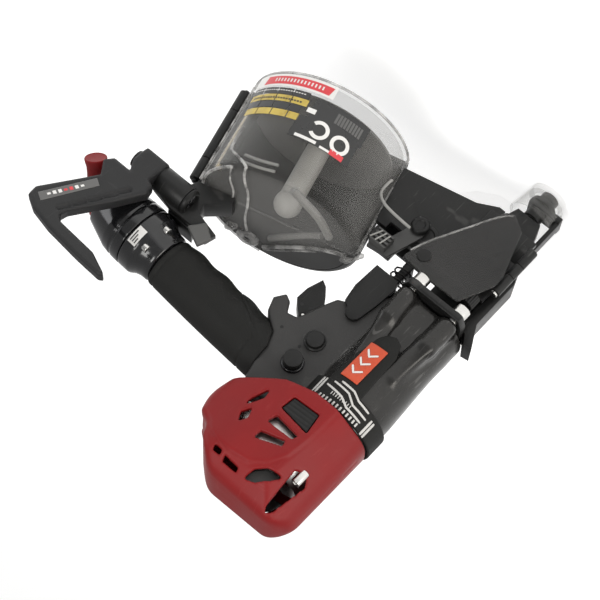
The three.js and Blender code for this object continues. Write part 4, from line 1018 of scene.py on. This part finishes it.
def handle_end():
    """Collar, end cap, red ring, swivelling plug and its dust cap."""
    black = LOOK["gloss_black"]
    lathe("handle_collar",
          [(8.6, 150.2), (16.2, 150.2), (17.6, 152), (17.9, 156.5), (19.2, 160.5), (21.9, 164.5),
                            (22.2, 172.9), (8.6, 172.9)], HANDLE, black, "tool_body", "gloss_black", sides=96,
                            r=1.1)
    lathe("end_cap", [(6, 173.5), (22.2, 173.5), (22.3, 180), (21.3, 180.8), (21.3, 182), (22.0, 182.8),
                      (21.4, 188), (18.4, 197), (15.4, 206.1), (6, 206.1)], HANDLE, black, "tool_body",
          "gloss_black", ("handle_end_cap",), sides=96, r=0.9)
    for k, degrees in enumerate((62, 118, 242, 298)):
        a = math.radians(degrees)
        place = HANDLE @ Matrix.Translation((20.9 * math.cos(a) * 0.9, 20.9 * math.sin(a) * 0.9, 158.2))
        lathe(f"end_screw_{k + 1}", [(0, 0), (2.6, 0), (2.6, 3.6), (1.5, 3.6), (1.3, 2), (0, 2)], place,
              LOOK["steel"], "tool_body", "steel", sides=32, r=0.4)
    wrap_patch("small_sticker", HANDLE, 22.25, 52, 84, 165.2, 171.6, LOOK["print_white"], "tool_body")
    for k in range(3):
        z = 166.4 + 1.7 * k
        wrap_patch(f"sticker_line_{k + 1}", HANDLE, 22.4, 56, 66 + 5 * k, z, z + 0.7, LOOK["print_black"],
                   "tool_body")
    lathe("red_ring",
          [(6, PLUG_Z - 8.0), (12.4, PLUG_Z - 8.0), (13.1, PLUG_Z - 7.2), (13.0, PLUG_Z - 5.0),
           (6, PLUG_Z - 5.0)],
          HANDLE, LOOK["red_shell"], "tool_body", "red_shell", ("swivel_ring",), sides=80, r=0.5)
    start = -4.2
    base = HANDLE @ Matrix.Translation((0, 0, PLUG_Z))
    lathe("swivel_base",
          [(2.6, start), (9.5, start), (9.5, 1.6), (8.9, 4.5), (7.0, 7.4), (4.2, 9.2), (2.6, 9.4)],
          base, LOOK["dark_steel"], "air_plug_body", "dark_steel", ("air_plug",), sides=64, r=0.6)
    lathe("plug_stem",
          [(2.6, 2), (7.2, 4), (7.2, 10.6), (4.6, 11.8), (4.4, 16), (5.1, 17), (5.1, 20), (4.4, 21),
                        (4.4, 22.5), (2.6, 22.5)], STEM, LOOK["steel"], "air_plug_body", "steel", sides=64,
                        r=0.3)
    lathe("flared_dust_cap",
          [(5.5, 12.2), (6.5, 12.2), (6.3, 17), (6.4, 21), (7.2, 24.6), (7.4, 26.4), (6.9, 27.0),
                              (6.0, 26.6), (0, 26.2), (0, 25.2), (5.4, 25.0), (5.5, 20)], STEM,
                              LOOK["red_shell"],
          "dust_cap_body", "red_shell", ("dust_cap",), sides=64, r=0.3)
    lathe("white_seal", [(5.2, 10.9), (7.4, 10.9), (7.5, 12.0), (5.2, 12.0)], STEM, LOOK["print_white"],
          "dust_cap_body", "white_nylon", sides=64, r=0.3)


def wrap_patch(name, place, radius, from_degrees, to_degrees, low, high, material, body, thick=0.16,
               lean=0.0):
    """A thin printed patch on a cylinder about z; lean shifts its top edge round by some degrees."""
    steps = max(2, int(abs(to_degrees - from_degrees) / 3))
    work = bmesh.new()
    rings = []
    for k in range(steps + 1):
        degrees = from_degrees + (to_degrees - from_degrees) * k / steps
        ring = []
        for r, z, shift in ((radius, low, 0), (radius + thick, low, 0), (radius + thick, high, lean),
                            (radius, high, lean)):
            a = math.radians(degrees + shift)
            ring.append(work.verts.new(place @ Vector((r * math.cos(a), r * math.sin(a), z))))
        rings.append(ring)
    for a, b in zip(rings, rings[1:]):
        for i in range(4):
            work.faces.new((a[i], a[(i + 1) % 4], b[(i + 1) % 4], b[i]))
    work.faces.new(rings[0])
    work.faces.new(list(reversed(rings[-1])))
    return new_piece(name, finished(work, 30), material, body)


grip_sleeve()
handle_end()


# ---------------------------------------------------------------- small turned pieces
def turned_pieces():
    """Trigger boss, blow button, long bolts, dial, and near-black discs painted as the shade inside small holes.
    """
    pin = turned_place(TOOL, (-41.5, 0, 183), "y")
    lathe("trigger_boss", [(0, 13.4), (7.0, 13.4), (7.1, 14.6), (5.7, 15.4), (5.5, 17.9), (0, 17.9)], pin,
          LOOK["black_plastic"], "tool_body", "black_plastic", r=0.5, sides=56)
    push = turned_place(TOOL, (-42.3, 0, 202.7), "y")
    lathe("blow_button", [(0, 6), (3, 6), (3, 16.6), (6.1, 16.7), (6.3, 17.6), (6.0, 21.2), (0, 21.3)], push,
          LOOK["black_plastic"], "duster_button_body", "black_plastic", ("duster_button",), r=0.5, sides=56)
    lathe("button_seat", [(4.4, 13.3), (7.4, 13.3), (7.4, 14.4), (6.6, 15.4), (4.4, 15.4)], push,
          LOOK["gloss_black"], "tool_body", "gloss_black", r=0.4, sides=56)
    for tag, (x, y) in zip(("rear_left", "rear_right", "front_left", "front_right"), BOLTS):
        place = turned_place(TOOL, (x, y, 108.2), "z")
        lathe(f"long_bolt_{tag}",
              [(2.5, 0), (5, 0), (5, 6.4), (2.8, 6.5), (2.8, 26), (0, 26), (0, 3.4), (2.5, 3.4)],
              place, LOOK["steel"], "tool_body", "steel", (f"nose_bolt_{tag}",), r=0.5, sides=40)
    # painted shade: small near-black discs on the surface stand in for the shade inside small holes
    for k, (x, y, z, body) in enumerate([(-63.2, 13, 189.1, "tool_body"), (-46.5, 13, 191.6, "tool_body"),
                                         (-59.9, 8.6, 166.5, "trigger_body"),
                                         (-65.7, 8.6, 167.4, "trigger_body")]):
        place = turned_place(TOOL, (x, y, z), "y")
        lathe(f"hole_shade_disc_{k + 1}", [(0, -0.4), (1.1, -0.4), (1.1, 0.12), (0, 0.12)], place,
              LOOK["painted_shade_black"],
              body, "black_plastic", r=0.0, sides=20)
    low, high = local_box("depth_dial")
    centre = (low + high) / 2
    dial = Field((low.x - 1, low.y - 1, low.z - 1), (high.x + 1, high.y + 1, high.z + 1), 0.35)
    across = np.hypot(dial.at[0] - centre.x, dial.at[1] - centre.y)
    round_about = np.arctan2(dial.at[1] - centre.y, dial.at[0] - centre.x)
    knurl = across - 5.75 - 0.25 * np.cos(round_about * 20)
    wheel = corner(knurl, np.abs(dial.at[2] - centre.z) - 4.4, 0.6)
    wheel = carve(wheel, across - 2.5, 0.2)
    from_field("knurled_dial", dial, wheel, TOOL, LOOK["black_plastic"], "depth_dial_body",
               ("depth_dial",))


turned_pieces()

# ---------------------------------------------------------------- belt hook
HOOK_EDGE = [(-204.6, 158.5), (-204.6, 171), (-199, 180), (-212.6, 180), (-216.2, 185.5), (-209, 195.5),
             (-228.6, 232), (-227.4, 239), (-218.6, 244), (-202.6, 247.5), (-176, 250), (-157.5, 250.8),
             (-155.5, 249.2), (-157.5, 247.7), (-171, 242), (-200.4, 240), (-204.3, 236.6), (-203.7, 231),
             (-189.3, 204), (-180.6, 185), (-182.5, 178.5), (-187.2, 176.5), (-187.2, 158.5)]
HOOK_LEAN, HOOK_LEAN_FROM = 0.26, 225
HOOK_SLOTS = [(-206.3, 230.6), (-202.2, 221.4), (-197.8, 212.2), (-193.8, 203), (-190.4, 194.4)]


def belt_hook():
    field = Field((-233, 4, 154), (-152, 54, 254), 0.8)
    at = field.at
    lean = (at[0], at[1] - HOOK_LEAN * (at[2] - HOOK_LEAN_FROM), at[2])
    arm = plate(lean, "xz", HOOK_EDGE, 32.6, 43.4, 2.4, 0.6)
    hub = rod(at, "x", 17, 165.5, 9, -204.6, -187.2, 1.8)
    arm = blend(arm, hub, 3.0)
    arm = carve(arm, rod(at, "x", 17, 165.5, 3.4, -212, -180, 0.2), 0.3)
    for x, z in HOOK_SLOTS:
        arm = carve(arm, limb(lean, (x - 1.5, 43.6, z + 2.9), (x + 1.5, 43.6, z - 2.9), 1.9), 0.4)
    tray = plate(lean, "xz", [(-224.6, 234.6), (-208.4, 199.2), (-202.8, 202.6), (-218.6, 238.2)], 43.1, 46,
                 0.2, 0.4)
    arm = carve(arm, tray, 0.3)
    from_field("hook_blade", field, arm, TOOL, LOOK["hook_grey"], "hook_arm_body",
               ("hook_arm",))
    leaning = Matrix.Identity(4)
    leaning[1][2] = HOOK_LEAN
    leaning[1][3] = -HOOK_LEAN * HOOK_LEAN_FROM
    place = TOOL @ leaning
    label = Field((-226, 42, 198), (-201, 45, 240), 0.4)
    strip = plate(label.at, "xz", [(-224.2, 234.4), (-208.4, 199.8), (-203.4, 202.8), (-218.8, 237.6)], 42.6,
                  43.5, 0.25,
                  0.2)
    from_field("hook_label", label, strip, place, LOOK["label_grey"], "hook_arm_body")
    along = Vector((16.2, 0, -35.0)).normalized()
    across = Vector((along.z, 0, -along.x))
    for k in range(7):
        middle_at = Vector((-220.3, 43.5, 233.2)) + along * (3.1 + 3.6 * k)
        work = bmesh.new()
        bmesh.ops.create_cube(work, size=1)
        turn = Matrix((along, Vector((0, 1, 0)), across)).transposed().to_4x4()
        size = Matrix.Diagonal((2.2, 0.25, 2.5 if k % 3 else 1.5, 1))
        bmesh.ops.transform(work, matrix=place @ Matrix.Translation(middle_at) @ turn @ size,
                            verts=work.verts)
        look = LOOK["print_red"] if k in (3, 4) else LOOK["print_white"]
        new_piece(f"hook_label_mark_{k + 1}", finished(work), look, "hook_arm_body")
    knob = turned_place(TOOL, (-163.9, 17, 165.5), "x")
    lathe("hook_knob",
          [(0, 0), (8.6, 0), (8.8, 1.6), (8.0, 3.4), (6.6, 3.8), (6.0, 3.2), (5.8, 1.4), (0, 1.4)], knob,
          LOOK["black_plastic"], "tool_body", "black_plastic", r=0.6, sides=56)
    cross = Field((-165, 9, 157), (-158, 25, 174), 0.35)
    turned = (0.7071 * (cross.at[1] - 17 + cross.at[2] - 165.5),
              0.7071 * (cross.at[1] - 17 - cross.at[2] + 165.5))
    local = (cross.at[0], turned[0], turned[1])
    bars = blend(block(local, -164, -160.9, -1.1, 1.1, -5.6, 5.6, 0.5),
                 block(local, -164, -160.9, -5.6, 5.6, -1.1, 1.1, 0.5),
                 0.8)
    from_field("hook_knob_cross", cross, bars, TOOL, LOOK["gloss_black"], "tool_body")
    tab = Field((-156, 10, 164), (-131, 17, 188), 0.5)
    flap = plate(tab.at, "xz", [(-151.6, 178.0), (-144.8, 169.2), (-135.6, 175.2), (-139.0, 183.6)], 12, 16.2,
                 1.0, 0.6)
    from_field("bracket_tab", tab, flap, TOOL, LOOK["tab_grey"], "tool_body")


belt_hook()

# ---------------------------------------------------------------- magazine
DRUM_R, DRUM_H, DRUM_WALL = 56, 78, 2.6


def drum_half(sweep_from, cap):
    low = [(13.6, 0), (DRUM_R, 0), (DRUM_R, DRUM_H - 6), (DRUM_R - 0.8, DRUM_H - 3),
           (DRUM_R - 3, DRUM_H - 0.8),
           (DRUM_R - 6, DRUM_H)]
    inner = [(DRUM_R - DRUM_WALL, DRUM_H - DRUM_WALL), (DRUM_R - DRUM_WALL, DRUM_WALL), (13.6, DRUM_WALL)]
    inner = [(DRUM_R - 6, DRUM_H - DRUM_WALL)] + [(DRUM_R - DRUM_WALL, DRUM_H - 6)] + inner[1:]
    top = [(0, DRUM_H), (0, DRUM_H - DRUM_WALL)] if cap else []
    return revolve(low + top + inner, DRUM, sides=90, r=0.5, sweep=179.5, start=sweep_from)


def on_wall(degrees, z, r=DRUM_R):
    a = math.radians(degrees)
    return (r * math.cos(a), r * math.sin(a), z)


def magazine():
    # rim is the clear edges' material; its pale colour is a painted highlight on the beads, rims, boss and lugs
    clear, rim, black = LOOK["clear_plastic"], LOOK["clear_rim_painted_highlight"], LOOK["drum_dark"]
    new_piece("clear_half", drum_half(0.25, True), clear, "magazine_cover_body",
              ("magazine_cover",))
    low, high = 19.4, 58.6
    lathe("cover_knuckle", [(2.2, low), (4.2, low), (4.2, high), (2.2, high)],
          DRUM @ Matrix.Translation((-60.5, 0, 0)),
          LOOK["black_plastic"], "magazine_cover_body", "black_plastic", r=0.4, sides=32)
    new_piece("dark_half", drum_half(180.25, False), black, "tool_body", ("magazine_base",))
    for k, start in enumerate((3, 59)):
        lathe(f"base_knuckle_{k + 1}", [(2.2, start), (4.2, start), (4.2, start + 16), (2.2, start + 16)],
              DRUM @ Matrix.Translation((-60.5, 0, 0)), LOOK["black_plastic"], "tool_body", "black_plastic",
              r=0.4,
              sides=32)
    cap = Field((-58, -58, 74), (58, 1, 80), 0.6)
    disc = rod(cap.at, "z", 0, 0, DRUM_R - 6.2, DRUM_H - DRUM_WALL, DRUM_H, 0.4)
    disc = np.maximum(disc, cap.at[1] + 0.25)
    solid_part = outline(cap.at[0], cap.at[1],
                         [(-13, -60), (-12, -52), (-5, -39), (27.6, -11.5), (39, -5.5), (60, -1),
                                                (60, -60)])
    from_field("cap_window", cap, carve(disc, solid_part, 0.3), DRUM, clear, "tool_body")
    from_field("cap_segment", cap, meet(disc, solid_part + 0.3, 0.3), DRUM, black, "tool_body")
    lathe("post_column", [(0, 2.9), (11, 2.9), (11, 5.6), (8.4, 6.6), (8, 10), (8, 60), (0, 60)], DRUM,
          LOOK["frosted"], "tool_body", "white_nylon", ("coil_post",), r=0.6, sides=64)
    sphere = [(9.3 * math.cos(math.radians(a)), 63 + 9.3 * math.sin(math.radians(a))) for a in range(-90, 91,
                                                                                                     10)]
    sphere = [(max(r, 0) if abs(r) > 1e-9 else 0, z) for r, z in sphere]
    lathe("post_ball", sphere, DRUM, LOOK["frosted"], "tool_body", "white_nylon", r=0, sides=48)
    lathe("coil_tray", [(8.5, 10), (49, 10), (49, 12), (11.5, 12.2), (11.5, 20), (8.5, 20)], DRUM,
          LOOK["tray_grey"],
          "nail_tray_body", "white_nylon", ("nail_tray",), r=0.5, sides=72)
    cover, base = "magazine_cover_body", "tool_body"
    slot = "clear_plastic"
    arc = [on_wall(a, 76.6, 54.2) for a in range(128, 181, 6)]
    tube("cover_cap_rim", arc, 1.1, DRUM, rim, cover)
    tube("cover_floor_rim", [on_wall(a, 1.0, 55.7) for a in range(4, 178, 6)], 0.9, DRUM, rim, cover)
    tube("window_cap_rim", [on_wall(a, 76.6, 54.2) for a in range(182, 262, 5)], 1.1, DRUM, rim, base)
    tube("cover_rear_edge", [on_wall(177.5, z, 56.2) for z in (1, 25, 50, 77)], 1.1, DRUM,
         LOOK["black_plastic"], cover)
    tube("cover_rear_rim", [on_wall(171, z, 56.2) for z in (1, 25, 50, 77)], 1.0, DRUM, rim, cover)
    tube("cover_front_rim", [on_wall(5.5, z, 55.8) for z in (2, 25, 50, 77)], 0.95, DRUM, rim, cover)
    tube("wall_bead",
         [on_wall(137, 46, 56.2), on_wall(138, 56, 56.2), on_wall(137, 64, 56.2), on_wall(127, 69, 56.2),
                       on_wall(118, 74, 56.2), on_wall(114.5, 77.4, 55.8)], 0.95, DRUM, rim, cover)
    tube("cap_bead_left", [(-23.5, 51, 78.2), (-25, 38, 78.4), (-20, 20, 78.4), (-21.5, 0.6, 78.4)], 0.95,
         DRUM, rim, cover)
    tube("cap_bead_inner", [(-33, 45, 78.2), (-35, 30, 78.4), (-30, 14, 78.4), (-33, 0.6, 78.4)], 0.7, DRUM,
         rim, cover)
    tube("cap_bead_lower", [(-21.5, -0.8, 78.4), (-24, -13, 78.4), (-21, -29, 78.4)], 0.95, DRUM, rim, base)
    tube("cap_bead_low",
         [(-9, -41.5, 78.4), (-4, -37.5, 78.6), (12, -23, 78.6), (27.6, -10.4, 78.6), (39, -5.4, 78.4),
                          (47, -3, 78.2)], 1.35, DRUM, rim, base)
    tube("cap_bead_second", [(-9, -45.5, 78.2), (-3, -41.5, 78.4), (13, -27, 78.4), (29, -14.2, 78.4)], 0.8,
         DRUM, rim, base)
    boss = turned_place(DRUM, (-20.5, -38.9, 77.6), "z")
    lathe("cap_boss", [(2.6, 0), (8.5, 0), (8.2, 1.6), (6.2, 2.8), (3.6, 2.8), (2.6, 1.8)], boss, rim, base,
          slot, r=0.6, sides=48)
    # painted shade: a near-black disc low in the boss's bore stands in for the shade inside it
    lathe("cap_boss_pin", [(0, 0), (2.4, 0), (2.4, 1.2), (0, 1.2)], boss, LOOK["painted_shade_black"], base,
          "black_plastic",
          r=0.3, sides=28)
    for k, (x, y, z) in enumerate([(49.5, -7, 78.4), (54.5, -5, 74.5), (-33, -36, 77.8)]):
        lump = Field((x - 6, y - 6, z - 5), (x + 6, y + 6, z + 5), 0.6)
        shape = blend(rod(lump.at, "z", x - 1, y, 3.2, z - 2.4, z + 1.6, 0.8),
                      limb(lump.at, (x - 3, y - 2, z), (x + 3, y + 2, z - 1), 1.8), 1.5)
        from_field(f"cap_lug_{k + 1}", lump, shape, DRUM, rim, base)
    tube("frosted_arm_left", [(7, 41, 73), (16, 31, 73), (24, 23, 73), (30, 12, 73), (34, 1, 73)], 2.7, DRUM,
         LOOK["frosted_arm"], cover)
    tube("frosted_arm_right", [(-7, -37.5, 73), (8, -21, 73), (22, -6.5, 73), (29, -1.4, 73)], 2.2, DRUM,
         LOOK["frosted_arm"],
         base)
    for k, z in enumerate((66, 71)):
        tube(f"far_arm_{k + 1}", [on_wall(124, z, 53), on_wall(110, z + 2.5, 52.5), on_wall(97, z + 1, 52)],
             1.0, DRUM,
             LOOK["frosted_arm"], cover)
    tube("brass_strip", [(-46, 21, 13), (-46.5, 21, 40), (-46.5, 21, 71)], 2.0, DRUM, LOOK["brass"], base)
    tube("brass_foot", [(-45, 23.5, 62), (-45, 23.5, 73)], 2.4, DRUM, LOOK["brass"], base)
    tube("strip_shadow", [(-42, 26, 14), (-42.5, 26, 40), (-42.5, 26, 70)], 3.2, DRUM, LOOK["painted_shade_black"],
         base)


def drum_label():
    """A generic printed band on the clear wall: stripes, blocks and rings that spell nothing."""
    body, slot = "magazine_cover_body", "clear_plastic"
    wrap_patch("label_base", DRUM, 56.08, 152, 86, 2.6, 12.2, LOOK["print_white"], body, thick=0.12)
    wrap_patch("label_red", DRUM, 56.22, 140, 88, 4.4, 10.6, LOOK["print_red"], body, thick=0.12,
               lean=1.6)
    repeated("label_red_dashes", DRUM, LOOK["print_white"], body, slot, 0.0, Count=15, First=(0, 0, 7.4),
             Bar_Size=(0.12, 1.0, 2.6), Ring_Radius=56.42, First_Angle=math.radians(95),
             Angle_Step=math.radians(2.6))
    for k, (z, look) in enumerate([(13.6, "print_black"), (19.0, "print_yellow"), (24.6, "print_black"),
                                   (30.2, "print_yellow")]):
        for n in range(4):
            start = 149 - 12.4 * n - 1.2 * k
            end = start - 11.6
            if k > 1 and n == 3:
                end += 4
            wrap_patch(f"label_cell_{k + 1}_{n + 1}", DRUM, 56.1, start, end, z, z + 5.0, LOOK[look], body,
                       thick=0.12)
    repeated("label_fine_dashes", DRUM, LOOK["print_white"], body, slot, 0.0, Count=22, First=(0, 0, 15.6),
             Bar_Size=(0.1, 1.1, 0.7), Ring_Radius=56.28, First_Angle=math.radians(104),
             Angle_Step=math.radians(2.0))
    repeated("label_dark_dashes", DRUM, LOOK["print_black"], body, slot, 0.0, Count=20, First=(0, 0, 21.8),
             Bar_Size=(0.1, 1.3, 1.2), Ring_Radius=56.28, First_Angle=math.radians(104),
             Angle_Step=math.radians(2.1))
    wrap_patch("label_block", DRUM, 56.1, 95, 55, 15.0, 30.5, LOOK["print_black"], body, thick=0.12)
    wrap_patch("label_block_low", DRUM, 56.1, 101, 57, 30.5, 46.5, LOOK["print_black"], body,
               thick=0.12)
    for k, (centre, z) in enumerate([(68, 37.5), (84, 35.5)]):
        ring_on_wall(f"label_ring_{k + 1}", centre, z, 6.6, 2.5, k)
    wrap_patch("label_bar_1", DRUM, 56.24, 97.5, 91.5, 23.5, 27.0, LOOK["print_white"], body,
               thick=0.12)
    wrap_patch("label_bar_2", DRUM, 56.24, 97, 82, 43.5, 45.6, LOOK["print_white"], body, thick=0.12)
    wrap_patch("label_bar_3", DRUM, 56.24, 79, 71, 44.6, 46.2, LOOK["print_white"], body, thick=0.12)
    wrap_patch("label_mark", DRUM, 56.28, 72, 62, 42.8, 46.6, LOOK["print_red"], body, thick=0.14)
    repeated("label_small_dashes", DRUM, LOOK["label_grey"], body, slot, 0.0, Count=9, First=(0, 0, 22.4),
             Bar_Size=(0.1, 1.6, 7.5), Ring_Radius=56.28, First_Angle=math.radians(60),
             Angle_Step=math.radians(2.2))


def ring_on_wall(name, degrees, z, radius, width, opened):
    """A broad ring on the curved wall; opened leaves a gap in its side."""
    work = bmesh.new()
    rows = []
    first, last = (35, 325) if opened else (0, 360)
    for k in range(33):
        a = math.radians(first + (last - first) * k / 32)
        row = []
        for r, off in ((radius - width, 0.14), (radius, 0.14), (radius, 0.3), (radius - width, 0.3)):
            turn = math.radians(degrees) + r * math.cos(a) / 56.1
            row.append(work.verts.new(DRUM @ Vector(on_wall(math.degrees(turn), z + r * math.sin(a),
                                                            56.1 + off))))
        rows.append(row)
    for a, b in zip(rows, rows[1:]):
        for i in range(4):
            work.faces.new((a[i], a[(i + 1) % 4], b[(i + 1) % 4], b[i]))
    if opened:
        work.faces.new(rows[0])
        work.faces.new(list(reversed(rows[-1])))
    new_piece(name, finished(work, 30), LOOK["print_white"], "magazine_cover_body")


magazine()
drum_label()

# ---------------------------------------------------------------- nose, feed door and guards
SHIELD = [(-36, 106), (-34, 92), (-8, 40), (-4, 38), (6, 44), (17, 76), (17, 84), (7, 107), (-17, 107.5)]


def nose_pieces():
    field = Field((-39, 12, 35), (20, 27, 110), 0.6)
    at = field.at
    face = plate(at, "xz", SHIELD, 23.0, 24.8, 0.7, 1.2)
    for x, z in ((-10, 58), (-22, 84)):
        face = blend(face, rod(at, "y", x, z, 2.6, 13.4, 24, 0.3), 1.0)
    from_field("smoked_shield", field, face, TOOL, LOOK["smoked_plastic"], "feed_door_body",
               ("door_shield",))
    # the shield's clear edge is painted pale: a painted highlight along the edge
    tube("shield_edge",
         [(-36, 24.3, 100), (-34, 24.4, 92), (-21, 24.4, 66), (-8.4, 24.4, 40.6), (-4, 24.2, 38.6)], 0.75,
         TOOL,
         LOOK["clear_rim_painted_highlight"], "feed_door_body")
    skirt = [(13.2, 0.8), (14.5, 0.8), (16.5, 22), (15.2, 22), (14.0, 7.0), (13.6, 4.0)]
    lathe("clear_skirt", skirt, TOOL, LOOK["clear_plastic"], "contact_arm_body", "clear_plastic",
          ("tip_skirt",), r=0.3,
          sides=80, sweep=292, start=34)
    lathe("skirt_floor", [(9.6, 4.6), (13.4, 4.6), (13.4, 5.6), (9.6, 5.6)], TOOL, LOOK["clear_plastic"],
          "contact_arm_body", "clear_plastic", r=0.2, sides=64)
    lathe("tip_tube",
          [(4.2, 0), (6.1, 0), (6.3, 1.2), (6.3, 6.4), (9.0, 6.7), (9.0, 9.5), (6.3, 9.7), (6.3, 21),
                       (4.2, 21)], TOOL, LOOK["dark_steel"], "contact_arm_body", "dark_steel",
                       ("contact_tip",), r=0.4,
          sides=56)
    oval = Field((-55, -23, 4), (-12, -17, 48), 0.5)
    pane = plate(oval.at, "xz",
                 [(-45, 36), (-48.4, 27), (-43, 20), (-30, 12.4), (-21.5, 11.5), (-19.4, 15), (-24, 30),
                                 (-34, 40)], -21.4, -20.2, 0.4, 2.2)
    from_field("far_pane", oval, pane, TOOL, LOOK["clear_plastic"], "tool_body")
    tube("guide_strip",
         [(-77.6, 21.5, 69), (-78.6, 22, 79), (-73.5, 22.4, 84.6), (-63.7, 22.4, 87.2), (-47, 22, 87.6)],
         1.0, TOOL, LOOK["pale_strip"], "feed_door_body")
    pivot = turned_place(TOOL, (-45, 0, 79), "y")
    lathe("latch_boss",
          [(0, 5.6), (1.9, 5.6), (1.9, 14.1), (6.2, 14.2), (6.4, 15.2), (5.2, 17.2), (3.4, 17.4), (2.8, 16.6),
           (0, 16.6)], pivot,
          LOOK["black_plastic"], "feed_door_body", "steel", ("latch_bolt",), r=0.4, sides=48)
    boss = turned_place(TOOL, (-38.6, 0, 80), "y")
    lathe("door_boss", [(0, 9.4), (7.4, 9.4), (7.4, 11.6), (5.2, 12.4), (4.8, 11.6), (0, 11.6)], boss,
          LOOK["black_plastic"], "feed_door_body", "black_plastic", r=0.5, sides=48)
    disc = turned_place(TOOL, (-27.6, 0, 97.5), "y")
    lathe("shield_stud", [(0, 24.9), (4.6, 24.9), (4.4, 25.7), (0, 25.8)], disc, LOOK["black_plastic"],
          "feed_door_body",
          "black_plastic", r=0.3, sides=40)
    corner_piece = Field((4, 9, 46), (23, 17, 78), 0.5)
    frosted = plate(corner_piece.at, "xz", [(13.8, 50.5), (19.6, 59), (18.6, 72.4), (13.4, 68)], 11.2, 13.2,
                    0.5, 0.6)
    from_field("frosted_corner", corner_piece, frosted, TOOL, LOOK["frosted"], "tool_body")
    for k in range(3):
        tube(f"latch_rib_{k + 1}", [(-62.4 + 4.0 * k, 20.9, 108.2), (-58.6 + 3.0 * k, 20.9, 99.8)], 0.55,
             TOOL, LOOK["pale_strip"],
             "door_latch_body")


nose_pieces()
